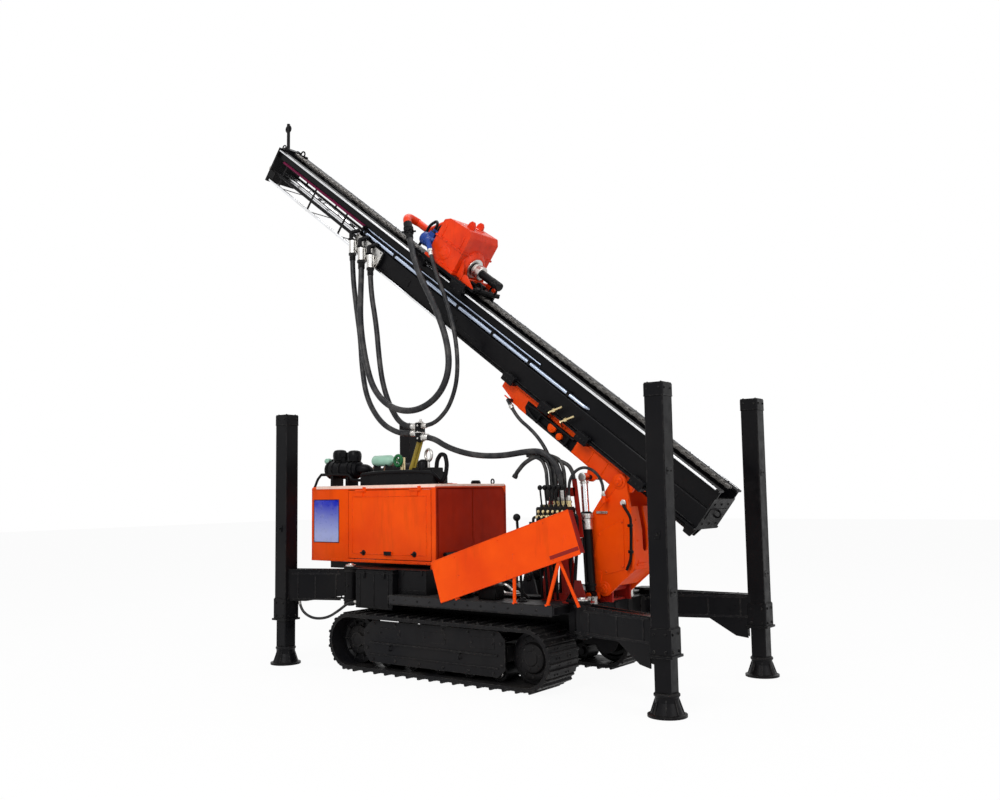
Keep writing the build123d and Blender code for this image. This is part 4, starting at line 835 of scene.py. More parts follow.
def frame_trim():
    """Gussets, bolts, pipes and brackets on the frame and the front deck."""
    trim = Shape()
    for side in SIDES:
        trim.bolts(range(-1080, 900, 165), side * 305, 580, (0, side, 0), 9)
        for x in (-900, -300, 420, 760):
            gusset = [(x - 50, RAIL_TOP), (x + 50, RAIL_TOP), (x + 50, 640), (x + 6, 652)]
            trim.plate(gusset, 1, side * 306 - 4, 8)
        trim.bolts(1060, (side * 470, side * 520), (480, 610), AHEAD, 12)
        trim.bolts(-1240, (side * 470, side * 520), (550, 680), BACK, 12)
    for y in (-420, -210, 0, 210, 420):
        trim.box((1060, 1066), (y - 34, y + 34), (462, 628), 3)
    trim.bolts((-250, 30, 420, 700, 900), (-190, 190), 610, UP, 9)
    trim.done("frame_trim", "chassis", DARK)
    pipes = Shape()
    for y in (-150, -110, 120):
        pipes.pipe([(-380, y, 622), (400, y, 622), (480, y * 1.2, 630), (930, y * 1.2, 630)], 9)
    for x in (-300, 60, 330, 620, 860):
        pipes.box((x - 12, x + 12), (-190, -90), (610, 640), 4)
    pipes.done("deck_pipes", "chassis", STEEL)


for make in (tracks, track_gear, fenders, boxes):
    for side in SIDES:
        make(side)
frame_trim()


# Drop legs
def leg_trim(end, side):
    """Welds, cap bolts, wear strips, grease points and the foot's ribs of one leg."""
    x = LEG_X if end == "front" else -LEG_X
    y = side * LEG_Y
    way = 1 if x > 0 else -1
    name = end + "_" + hand(side)
    tube = Shape()
    for sx, sy in product(SIDES, SIDES):
        tube.rod((x + sx * 66, y + sy * 66, 585), (x + sx * 66, y + sy * 66, LEG_TOP - 95), 5.5, 8)
    corners = [(x - 72, y - 72), (x + 72, y - 72), (x + 72, y + 72), (x - 72, y + 72)]
    for z in (583, LEG_TOP - 92):
        for a, b in zip(corners, corners[1:] + corners[:1]):
            tube.rod((*a, z), (*b, z), 5, 8)
    for dx, dy in ((1, 0), (-1, 0), (0, 1), (0, -1)):
        for out, apart, heights, size in ((76, 46, (LEG_TOP - 40,), 9), (81, 44, (430, 545), 11)):
            for t, z in product((-apart, apart), heights):
                tube.bolt((x + dx * out + dy * t, y + dy * out + dx * t, z), (dx, dy, 0), size)
    tube.bolts((x - 52, x + 52), (y - 52, y + 52), LEG_TOP, UP, 8)
    tube.box((x - 20, x + 20), (y + side * 69, y + side * 78), (1180, 1240), 3)
    tube.rod((x, y + side * 70, 1210), (x, y + side * 92, 1210), 9, 12)
    for z in (820, 1640):
        tube.box((x + way * 69 - 4, x + way * 69 + 4), (y - 40, y + 40), (z - 26, z + 26), 3)
        tube.bolts(x + way * 73, (y - 24, y + 24), z, (way, 0, 0), 7, False)
    tube.done(name + "_leg_trim", name + "_outrigger", BLACK)
    foot = Shape()
    for k in range(8):
        c, s = cos(k * pi / 4 + pi / 8), sin(k * pi / 4 + pi / 8)
        foot.place = lambda r, t, z: machine(x + r * c - t * s, y + r * s + t * c, z)
        foot.plate([(76, 16), (118, 16), (114, 30), (84, 116), (76, 120)], 1, -4, 8)
    foot.place = machine
    foot.turned((x, y, 0), UP, [(1, 128), (3, 135), (14, 135), (18, 130), (18, 80)], 40)
    foot.turned((x, y, 140), UP, [(-10, 84), (-2, 90), (8, 90), (16, 82), (16, 64)], 32)
    foot.done(name + "_foot_trim", name + "_leg", DARK)


# Pin X, leg X, and the arm's lower and upper face
ARMS = {"front": (1120, LEG_X, 450, 676), "rear": (-1300, -LEG_X, 560, 850)}
ARM_PIN_Y = 620


def arm_trim(end, side):
    """Pin caps, stiffening strips and bolts of one swinging arm."""
    px, lx, z0, z1 = ARMS[end]
    py = side * ARM_PIN_Y
    name = end + "_" + hand(side)
    angle = atan2(side * LEG_Y - py, lx - px)
    reach = hypot(side * LEG_Y - py, lx - px)
    c, s = cos(angle), sin(angle)
    arm = Shape(lambda u, v, z: machine(px + u * c - v * s, py + u * s + v * c, z))
    for way in SIDES:
        thick = (way * 54, way * 60)
        arm.box((70, reach - 90), thick, (z1 - 52, z1 - 34), 3)
        arm.box((70, reach - 90), thick, (z0 + 16, z0 + 34), 3)
        for u in (120, reach / 2, reach - 150):
            arm.box((u - 7, u + 7), thick, (z0 + 30, z1 - 48), 3)
        arm.bolts(range(100, int(reach - 100), 90), way * 55, z1 - 24, (0, way, 0), 8, False)
    for z in (z0, z1 - 36):
        arm.turned((0, 0, z), UP, [(6, 60), (10, 66), (26, 66), (30, 60)], 32)
    arm.rod((0, 62, (z0 + z1) / 2), (0, 78, (z0 + z1) / 2), 6, 10)
    arm.done(name + "_arm_trim", name + "_outrigger", DARK)
    cap = Shape()
    cap.turned((px, py, z1 + 24), UP, [(0, 46), (10, 46), (14, 40), (14, 26), (22, 22), (22, 4)], 28)
    cap.bolt_ring((px, py, z1 + 36), UP, 36, 4, degrees(0.4), 6, False)
    cap.done(name + "_pin_cap", "chassis", STEEL)


for end, side in product(ARMS, SIDES):
    leg_trim(end, side)
    arm_trim(end, side)


# Mast
MAST_BOX_END = 4450.0
MAST_END = 6080.0
CHAIN_PITCH = 76.0
CHAIN_N = 371.0
UPPER_RUNS = ((-118, 322, 12), (-84, 330, 9), (84, 330, 9), (118, 322, 12))


def mast_trim():
    """Slide strips, side pipes with their clips, seams and bolts of the beam; the side pipes are black pipes
    coloured pale blue as a painted highlight.
    """
    strips = Shape(mast)
    pipes = Shape(mast)
    trim = Shape(mast)
    for side in SIDES:
        out = (0, side, 0)
        strips.box((30, MAST_END - 20), (side * 203, side * 208), (343, 354), 1.5)
        strips.box((30, MAST_END - 20), (side * 186, side * 205), (354, 357), 1)
        strips.box((2850, MAST_BOX_END - 20), (side * 210, side * 217), (1, 15))
        # Black pipes drawn in pale blue: painted highlight.
        pipes.pipe([(1300, side * 150, 215), (1325, side * 186, 216), (1420, side * 186, 216),
                    (4380, side * 186, 216), (4440, side * 186, 216), (4470, side * 150, 250)], 18, 16)
        pipes.pipe([(1900, side * 172, 262), (1960, side * 174, 262), (4340, side * 174, 262),
                    (4420, side * 168, 262), (4460, side * 120, 280)], 8, 10)
        for s in range(1500, 4400, 480):
            trim.box((s, s + 34), (side * 164, side * 207), (197, 238), 4)
            trim.bolt((s + 17, side * 207, 206), out, 7)
        trim.bolts(range(2960, 4400, 120), side * 199, 16, UP, 7)
        trim.bolts(range(120, 6000, 196), side * 186, 354, UP, 6, False)
        trim.rod((40, side * 185, 24), (MAST_BOX_END - 20, side * 185, 24), 6, 8)
        trim.box((2600, 3300), (side * 185, side * 190), (64, 70), 1)
        for s in (260, 2900, 3600):
            trim.box((s, s + 70), (side * 184, side * 191), (60, 130), 3)
            trim.bolts((s + 12, s + 58), side * 191, 95, out, 7, False)
    strips.done("mast_slide_strips", "mast", POLISHED)
    pipes.done("mast_side_pipes", "mast", HIGHLIGHT_TUBE)
    trim.bolts(0, (-120, 0, 120), (50, 230), BACK, 10)
    trim.box((-6, 0), (-150, 150), (96, 190), 3)
    trim.ring((-14, 0, 150), LEFT, 26, 8)
    trim.bolts(MAST_BOX_END, (-170, -60, 60, 170), (30, 235), AHEAD, 9)
    trim.done("mast_trim", "mast", BLACK)


def upper_mast():
    """Thin pipes, cross ties and the dark red lines of the open part above the beam."""
    runs = Shape(mast)
    line = Shape(mast)
    for y, n, r in UPPER_RUNS:
        runs.rod((MAST_BOX_END - 40, y, n), (MAST_END - 10, y, n), r, 12)
    for side in SIDES:
        runs.rod((MAST_BOX_END, side * 165, 120), (MAST_END - 30, side * 165, 120), 17, 14)
        runs.rod((MAST_BOX_END, side * 168, 14), (MAST_END - 30, side * 168, 14), 9, 12)
        line.rod((MAST_BOX_END + 10, side * 172, 262), (MAST_END - 120, side * 172, 262), 13, 12)
    runs.done("upper_mast_runs", "mast", BLACK)
    line.done("upper_mast_red_lines", "mast", MAROON)
    ties = Shape(mast)
    for s in range(4620, 6000, 280):
        ties.box((s, s + 24), (-152, 152), (300, 312), 3)
        for y in (-118, 118):
            ties.box((s - 4, s + 28), (y - 18, y + 18), (306, 342), 4)
    for s in (4760, 5320, 5880):
        for side in SIDES:
            ties.box((s, s + 18), (side * 160, side * 176), (8, 276), 3)
        ties.box((s, s + 18), (-176, 176), (0, 6))
    ties.done("upper_mast_ties", "mast", DARK)


def chain_link(shape, s, inner):
    """Two waisted side plates; the inner links' plates are closer together."""
    outline = []
    for way in (1, -1):
        for k in range(7):
            a = radians(way * -90 + 30 * k)
            outline.append((s + way * CHAIN_PITCH / 2 + 14 * cos(a), CHAIN_N + 13 * sin(a)))
        outline.append((s, CHAIN_N + way * 8))
    reach = 22 if inner else 29
    for y in (-reach, reach - 5):
        shape.plate(outline, 1, y, 5, 1)


def feed_chain():
    links = Shape(mast)
    count = int((MAST_END - 60) / CHAIN_PITCH)
    for k in range(count):
        chain_link(links, 30 + CHAIN_PITCH * (k + 0.5), k % 2 == 0)
    for pin in (30 + CHAIN_PITCH * k for k in range(1, count)):
        links.rod((pin, -34, CHAIN_N), (pin, 34, CHAIN_N), 6, 8)
        links.rod((pin, -16, CHAIN_N), (pin, 16, CHAIN_N), 11, 12)
    last = 30 + count * CHAIN_PITCH
    for ends in ((26, 64), (last - 34, last + 4)):
        links.box(ends, (-20, 20), (CHAIN_N - 12, CHAIN_N + 12), 3)
    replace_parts(links.done("feed_chain_links", "mast", CHAIN), "feed_chain")


def crown_trim():
    """Bolts, guard, guide rollers and rings at the mast's crown."""
    trim = Shape(mast)
    trim.bolts(MAST_END + 22, (-170, -100, 100, 170), (20, 130, 250, 350), AHEAD, 9)
    trim.box((MAST_END + 22, MAST_END + 30), (-186, 186), (160, 168))
    for side in SIDES:
        trim.turned((MAST_END + 94, side * 88, 306), (0, side, 0),
                    [(0, 26), (6, 28), (12, 26), (12, 14), (20, 12), (20, 3)], 20)
        trim.box((MAST_END - 90, MAST_END + 4), (side * 196, side * 200), (40, 120), 3)
    trim.ring((MAST_END + 12, 120, 384), LEFT, 30, 8)
    trim.ring((MAST_END + 12, -140, 384), LEFT, 26, 7)
    trim.done("crown_trim", "mast", BLACK)
    rollers = Shape(mast)
    for y in (-172, 128):
        rollers.turned((MAST_END + 40, y, 120), LEFT, [(0, 20), (3, 30), (12, 22), (32, 22), (41, 30),
                                                       (44, 20)], 24)
    rollers.rod((MAST_END + 40, -185, 120), (MAST_END + 40, 185, 120), 9, 12)
    rollers.done("crown_rollers", "mast", STEEL)


def bracket_trim():
    """Collar bolts and the short pipes that rise from the hose bracket into the beam."""
    trim = Shape(mast)
    for s in CLAMP_S:
        trim.pipe([(s + 70, -CLAMP_Y, CLAMP_N + 62), (s + 104, -CLAMP_Y, CLAMP_N + 106), (s + 96, -244, 168),
                   (s + 62, -214, 214)], 20, 14)
        trim.ring((s + 64, -CLAMP_Y, CLAMP_N + 54), (sin(MAST_ANGLE), 0, cos(MAST_ANGLE)), 26, 8)
    trim.bolts((4062, 4175, 4325, 4438), -227, (34, 166), RIGHT, 8)
    trim.done("hose_bracket_trim", "mast", BLACK)


for make in (mast_trim, upper_mast, feed_chain, crown_trim, bracket_trim):
    make()


# Rotary head
HEAD_S = (3190.0, 3560.0)
HEAD_HALF = 205.0
SPINDLE_N = 540.0
MOTOR_N = 522.0
CARRIAGE_S = (2960, 3700)


def head_trim():
    """Dome round the spindle, bolt circles, rim bolts, lid and lug of the gearbox."""
    s0, s1 = HEAD_S
    trim = Shape(mast)
    trim.turned((s0, 0, SPINDLE_N), BACK,
                [(-4, 152), (4, 151), (12, 147), (20, 139), (30, 131), (38, 118), (44, 112), (44, 97)], 48)
    for k in range(12):
        a = radians(30 * k + 15)
        y, n = 141 * cos(a), SPINDLE_N + 141 * sin(a)
        if n > 452:
            trim.bolt((s0 - 14, y, n), BACK, 9)
    for side in SIDES:
        out = (0, side, 0)
        trim.bolts(range(int(s0) + 20, int(s1), 66), side * 214, 637, out, 8, False)
        trim.bolts(range(int(s0) + 20, int(s1), 66), side * 212, 446, UP, 9)
        trim.turned((s0 + 190, side * HEAD_HALF, SPINDLE_N), out,
                    [(-3, 70), (4, 68), (8, 60), (8, 30), (13, 26), (13, 4)], 32)
        trim.bolt_ring((s0 + 190, side * (HEAD_HALF + 6), SPINDLE_N), out, 56, 6, 30, 7, False)
        for s in (s0 + 60, s1 - 60):
            trim.box((s - 8, s + 8), (side * 203, side * 212), (648, 770), 3)
    trim.bolts(s0 - 10, (-150, -50, 50, 150), 637, BACK, 8, False)
    for s in (90, 200, 290):
        trim.bolts(s0 + s, (-170, 170), 838 - (s - 40) * 0.045, UP, 9)
    trim.turned((s0 + 180, 80, 830), UP, [(0, 46), (12, 46), (16, 38), (16, 22), (30, 20), (30, 4)], 24)
    lug = ((96, 828), (196, 824), (184, 878), (164, 902), (132, 904), (110, 882))
    trim.plate([(s0 + s, n) for s, n in lug], 1, -96, 20, 3)
    trim.plate([(s0 + s + 70, n - 3) for s, n in lug], 1, 104, 20, 3)
    trim.done("gearbox_trim", "rotary_head", HEAD_ORANGE)
    eyes = Shape(mast)
    eyes.ring((s0 + 148, -86, 872), LEFT, 18, 6)
    eyes.turned((s0 - 46, 0, SPINDLE_N), BACK, [(-2, 94), (3, 92), (3, 64)], 40)
    eyes.bolts(s0 + 190, (-140, 0, 140), 836, UP, 10, False)
    eyes.done("gearbox_bright_parts", "rotary_head", STEEL)
    collar = Shape(mast)
    collar.turned((s0 - 62, 0, SPINDLE_N), BACK,
                  [(0, 59), (2, 64), (20, 66), (24, 60), (60, 60), (64, 66), (84, 66), (90, 59)], 36)
    collar.done("spindle_collar", "spindle", STEEL)
    thread = Shape(mast)
    for s in range(2800, 2900, 12):
        thread.ring((s, 0, SPINDLE_N), AHEAD, 38, 2.2, 28, 6)
    thread.done("spindle_thread", "spindle", DARK)


def motors_trim():
    """Ribs, bolts, port blocks and hose stubs of the two drive motors."""
    s1 = HEAD_S[1]
    top = MOTOR_N + 104
    blue = Shape(mast)
    dark = Shape(mast)
    for y in (-128, 128):
        blue.turned((s1 + 24, y, MOTOR_N), AHEAD, [(-2, 76), (8, 76), (12, 66), (40, 64), (44, 60),
                                                   (120, 60), (124, 65), (150, 65), (156, 58), (172, 56),
                                                   (178, 44), (184, 12)], 32)
        dark.bolt_ring((s1 + 12, y, MOTOR_N), AHEAD, 66, 8, 22, 8)
        dark.bolt_ring((s1 + 180, y, MOTOR_N), AHEAD, 40, 8, 22, 6, False)
        for s in (s1 + 76, s1 + 114):
            blue.rod((s, y, top - 14), (s, y, top + 20), 17, 16)
        dark.box((s1 + 62, s1 + 128), (y - 34, y + 34), (top - 8, top), 3)
        dark.bolts((s1 + 68, s1 + 122), (y - 26, y + 26), top, UP, 5, False)
        dark.pipe([(s1 + 76, y, top + 16), (s1 + 76, y, top + 66), (s1 + 40, y * 0.9, top + 96),
                   (s1 - 40, y * 0.9, top + 106)], 14)
        dark.pipe([(s1 + 114, y, top + 16), (s1 + 116, y, top + 72), (s1 + 168, y * 0.8, top + 86),
                   (s1 + 230, y * 0.7, top + 16), (s1 + 236, y * 0.7, 424)], 14)
    blue.done("motor_castings", "rotary_head", BLUE)
    dark.done("motor_fittings", "rotary_head", BLACK)


def carriage_trim():
    """Gussets, guide shoes, chain anchors and ring lug of the sliding carriage."""
    s0, s1 = CARRIAGE_S
    head = HEAD_S[0]
    gussets = Shape(mast)
    for y in (174, -192):
        gussets.plate([(s0 - 62, 420), (s0 + 112, 420), (s0 + 112, 484), (s0 + 84, 492)], 1, y, 18, 2)
    gussets.plate([(s0 + 112, -206), (s0 + 112, 206), (s0 + 136, 196), (s0 + 136, -196)], 2, 421, 30, 3)
    for y in (-157, 143):
        gussets.plate([(s0 + 130, 421), (head - 12, 421), (head - 12, 560), (head - 26, 566)], 1, y, 14, 2)
    gussets.done("carriage_gussets", "rotary_head", HEAD_ORANGE)
    trim = Shape(mast)
    for side in SIDES:
        trim.bolts([*range(s0 + 30, int(head) - 30, 62), *range(3590, s1 - 10, 50)], side * 222, 422, UP, 9)
        for s in (s0, s1 - 180):
            trim.box((s + 8, s + 172), (side * 235, side * 242), (322, 400), 3)
            trim.bolts((s + 30, s + 90, s + 150), side * 242, (340, 384), (0, side, 0), 8)
        trim.ring((s0 - 40, side * 110, 452), LEFT, 36, 10)
        trim.rod((s0 + 20, side * 60, 436), (s0 + 96, side * 60, 436), 16, 14)
    trim.box((s0 - 70, s0 - 56), (-196, 196), (398, 440), 3)
    trim.done("carriage_trim", "rotary_head", BLACK)


def swivel_trim():
    """Flange bolts, union and clamp rings on the air pipe."""
    s1 = HEAD_S[1]
    pipe_n = SPINDLE_N + 185
    trim = Shape(mast)
    trim.bolt_ring((s1 + 18, 0, pipe_n), AHEAD, 47, 6, 0, 7)
    trim.ring((s1 + 90, 0, pipe_n), AHEAD, 35, 6, 28, 8)
    trim.turned((s1 + 120, 0, SPINDLE_N), AHEAD, [(-2, 46), (8, 44), (14, 34), (26, 30), (26, 5)], 28)
    trim.rod((s1 + 60, -56, SPINDLE_N), (s1 + 60, -92, SPINDLE_N + 6), 8, 10)
    trim.done("swivel_trim", "rotary_head", STEEL)
    union = Shape()
    end = Vector(AIR_HOSE_EXIT)
    up = (end - Vector(AIR_HOSE_NEXT)).normalized()
    union.turned(end, up, [(-6, 44), (0, 48), (16, 48), (20, 42), (34, 42), (38, 47), (54, 47), (58, 41),
                           (112, 41), (116, 33)], 28)
    for side in SIDES:
        out = up.orthogonal().normalized() * side
        union.rod(end + up * 8 + out * 46, end + up * 8 + out * 66, 9, 10)
    union.done("air_hose_union", "rotary_head", BLACK)


for make in (head_trim, motors_trim, carriage_trim, swivel_trim):
    make()


# Engine hood
HOOD_BACK = -1930.0
HOOD_FRONT = -400.0
DOOR_X = (-1440.0, -450.0)
DOOR_Z = (935.0, 1545.0)
HINGE_X = (-1300, -640)
BLUE_PLATE_X = (-1893.0, -1570.0)
BLUE_PLATE_Z = (1075.0, 1460.0)


def hood_trim(side):
    """Skirt, seams and screws on one side of the hood, and its door's swage, latches and inner frame."""
    face = side * HOOD_SIDE
    hinge = side * (HOOD_SIDE + 9)
    raised = (face, face + side * 3)
    out = (0, side, 0)
    trim = Shape()
    trim.box((HOOD_BACK, HOOD_FRONT), raised, (902, 924), 1.5)
    trim.box((HOOD_BACK, HOOD_FRONT), raised, (1556, 1562), 1)
    trim.box((HOOD_BACK + 2, HOOD_BACK + 12), raised, (924, 1556), 1)
    trim.box((HOOD_FRONT - 12, HOOD_FRONT - 2), raised, (924, 1556), 1)
    trim.bolts(range(-1900, -400, 100), face + side * 3, 913, out, 6, False)
    trim.bolts((-1460, -425), face, range(960, 1540, 96), out, 5, False)
    for x in HINGE_X:
        trim.bolts((x + 52, x + 72), hinge, 1565, out, 4, False)
    trim.done(hand(side) + "_hood_trim", "chassis", ORANGE)
    name = hand(side) + "_hood_door"
    x0, x1 = DOOR_X
    z0, z1 = DOOR_Z
    door = Shape()
    for x in (x0 + 46, x1 - 52):
        door.box((x, x + 6), (face - side, face + side * 3), (z0 + 46, z1 - 60), 1.5)
    for z in (z0 + 40, z1 - 60):
        door.box((x0 + 46, x1 - 46), (face - side, face + side * 3), (z, z + 6), 1.5)
    for x in HINGE_X:
        door.bolts((x - 32, x + 32), hinge, (z1 - 46, z1 - 28), out, 4.5, False)
    door.done(hand(side) + "_door_swage", name, ORANGE)
    latch = Shape()
    for x in (-1250, -640):
        latch.turned((x, face, z0 + 52), out, [(-2, 24), (4, 25), (8, 20), (8, 12), (20, 10), (22, 3)], 24)
        latch.box((x - 30, x + 8), (face + side * 12, face + side * 20), (z0 + 46, z0 + 58), 3)
    latch.box((-990, -900), (face + side * 13, face + side * 19), (z0 + 36, z0 + 70), 3)
    inner = (face - side * 21, face - side * 37)
    for z in (z0 + 60, z1 - 80):
        latch.box((x0 + 60, x1 - 60), inner, (z, z + 24), 3)
    for x in (x0 + 60, (x0 + x1) / 2, x1 - 84):
        latch.box((x, x + 24), inner, (z0 + 60, z1 - 60), 3)
    latch.done(hand(side) + "_door_latches", name, BLACK)


def hood_plate():
    """Plate on the hood's near side, with nothing on it."""
    plate = Shape()
    plate.box(BLUE_PLATE_X, (-HOOD_SIDE - 3, -HOOD_SIDE + 1), BLUE_PLATE_Z, 1)
    plate.done("blank_side_plate", "chassis", PLATE_BLUE)
    rim = Shape()
    x0, x1 = BLUE_PLATE_X
    z0, z1 = BLUE_PLATE_Z
    thick = (-HOOD_SIDE - 4, -HOOD_SIDE + 1)
    for x in (x0 - 6, x1):
        rim.box((x, x + 6), thick, (z0 - 6, z1 + 6), 1)
    for z in (z0 - 6, z1):
        rim.box((x0 - 6, x1 + 6), thick, (z, z + 6), 1)
    rim.bolts((x0 + 8, x1 - 8), -HOOD_SIDE - 3, (z0 + 8, z1 - 8), RIGHT, 3, False)
    rim.done("blank_plate_rim", "chassis", BLACK)


def hood_ends():
    """Front panel's seams and screws, the dark red front sheet with painted shade, the rear louvres' frame,
    lamps, the roof and the near edges: the corner post, and strips painted as highlights along the top edges.
    """
    front = (HOOD_FRONT, HOOD_FRONT + 4)
    back = (HOOD_BACK - 5, HOOD_BACK)
    trim = Shape()
    for y in (-486, 476):
        trim.box(front, (y, y + 10), (924, 1550), 1)
    for z in (920, 1546):
        trim.box(front, (-486, 486), (z, z + 8), 1)
    trim.box(front, (-4, 4), (930, 1546), 1)
    trim.bolts(HOOD_FRONT, range(-450, 451, 90), (934, 1536), AHEAD, 5, False)
    for y in (-400, 392):
        trim.box(back, (y, y + 8), (1010, 1520), 1)
    for z in (1010, 1512):
        trim.box(back, (-400, 400), (z, z + 8), 1)
    trim.bolts(HOOD_BACK, range(-380, 381, 95), (980, 1545), BACK, 6, False)
    for x in (-1690, -1180, -690):
        trim.box((x, x + 8), (-494, 494), (HOOD_TOP - 1, HOOD_TOP + 4), 1.5)
    trim.bolts(range(-1880, -420, 120), (-480, 480), HOOD_TOP, UP, 6, False)
    trim.box((-1160, -720), (-190, 190), (HOOD_TOP, HOOD_TOP + 14), 4)
    trim.done("hood_end_trim", "chassis", ORANGE)
    dark = Shape()
    for y in range(-150, 151, 30):
        dark.box((-1130, -750), (y - 4, y + 4), (HOOD_TOP + 13, HOOD_TOP + 19))
    for y in (-440, 440):
        dark.turned((HOOD_BACK, y, 960), BACK, [(-1, 34), (14, 36), (22, 34), (26, 20), (28, 4)], 28)
    dark.box((HOOD_BACK - 8, HOOD_BACK + 1), (-60, 60), (930, 975), 3)
    for x, y in ((-1860, 400), (-470, -400), (-470, 400)):
        dark.ring((x, y, HOOD_TOP + 26), AHEAD, 22, 7)
    dark.turned((-560, 260, HOOD_TOP), UP, [(0, 46), (24, 46), (30, 40), (38, 38), (40, 8)], 30)
    dark.rod((HOOD_FRONT + 26, -420, 985), (HOOD_FRONT + 26, -60, 985), 20, 16)
    for y in (-400, -90):
        dark.rod((HOOD_FRONT, y, 985), (HOOD_FRONT + 26, y, 985), 16, 14)
    dark.done("hood_dark_parts", "chassis", BLACK)
    pan = Shape()
    for x in ((-1900, -1190), (-590, -425)):
        pan.box(x, (-300, 300), (901, 905), 1)
    pan.done("hood_underpan", "chassis", BLACK)
    # Thin front sheet in that dark red: the front's own paint with painted shade over it.
    panel = Shape()
    panel.plate([(-505, 926), (505, 926), (505, 1490), (450, 1560), (-505, 1560)], 0, HOOD_FRONT - 1, 5)
    panel.done("hood_front_panel", "chassis", SHADE_RED)
    near = (-HOOD_SIDE - 4, -HOOD_SIDE + 6)
    # Painted highlight: pale strips along the near top edge and the front top edge.
    bright = Shape()
    bright.box((HOOD_BACK + 60, HOOD_FRONT), near, (HOOD_TOP - 24, HOOD_TOP + 5), 3)
    bright.box((HOOD_FRONT - 12, HOOD_FRONT + 5), (-HOOD_SIDE - 3, 486), (HOOD_TOP - 16, HOOD_TOP + 5), 3)
    bright.done("hood_painted_highlight_strips", "chassis", HIGHLIGHT_ORANGE)
    corner = Shape()
    corner.box((HOOD_FRONT - 40, HOOD_FRONT + 4), near, (904, HOOD_TOP - 26), 3)
    corner.box((-462, -404), (-HOOD_SIDE, -470), (DECK_Z, 904), 4)
    corner.box((-480, -390), (-HOOD_SIDE - 6, -450), (DECK_Z, DECK_Z + 12))
    corner.done("hood_corner_post", "chassis", ORANGE)


# Roof
AIR_CLEANER = (-370, 1745)
EXHAUST = (380, 1745)
WHEEL = (-925, 1806)


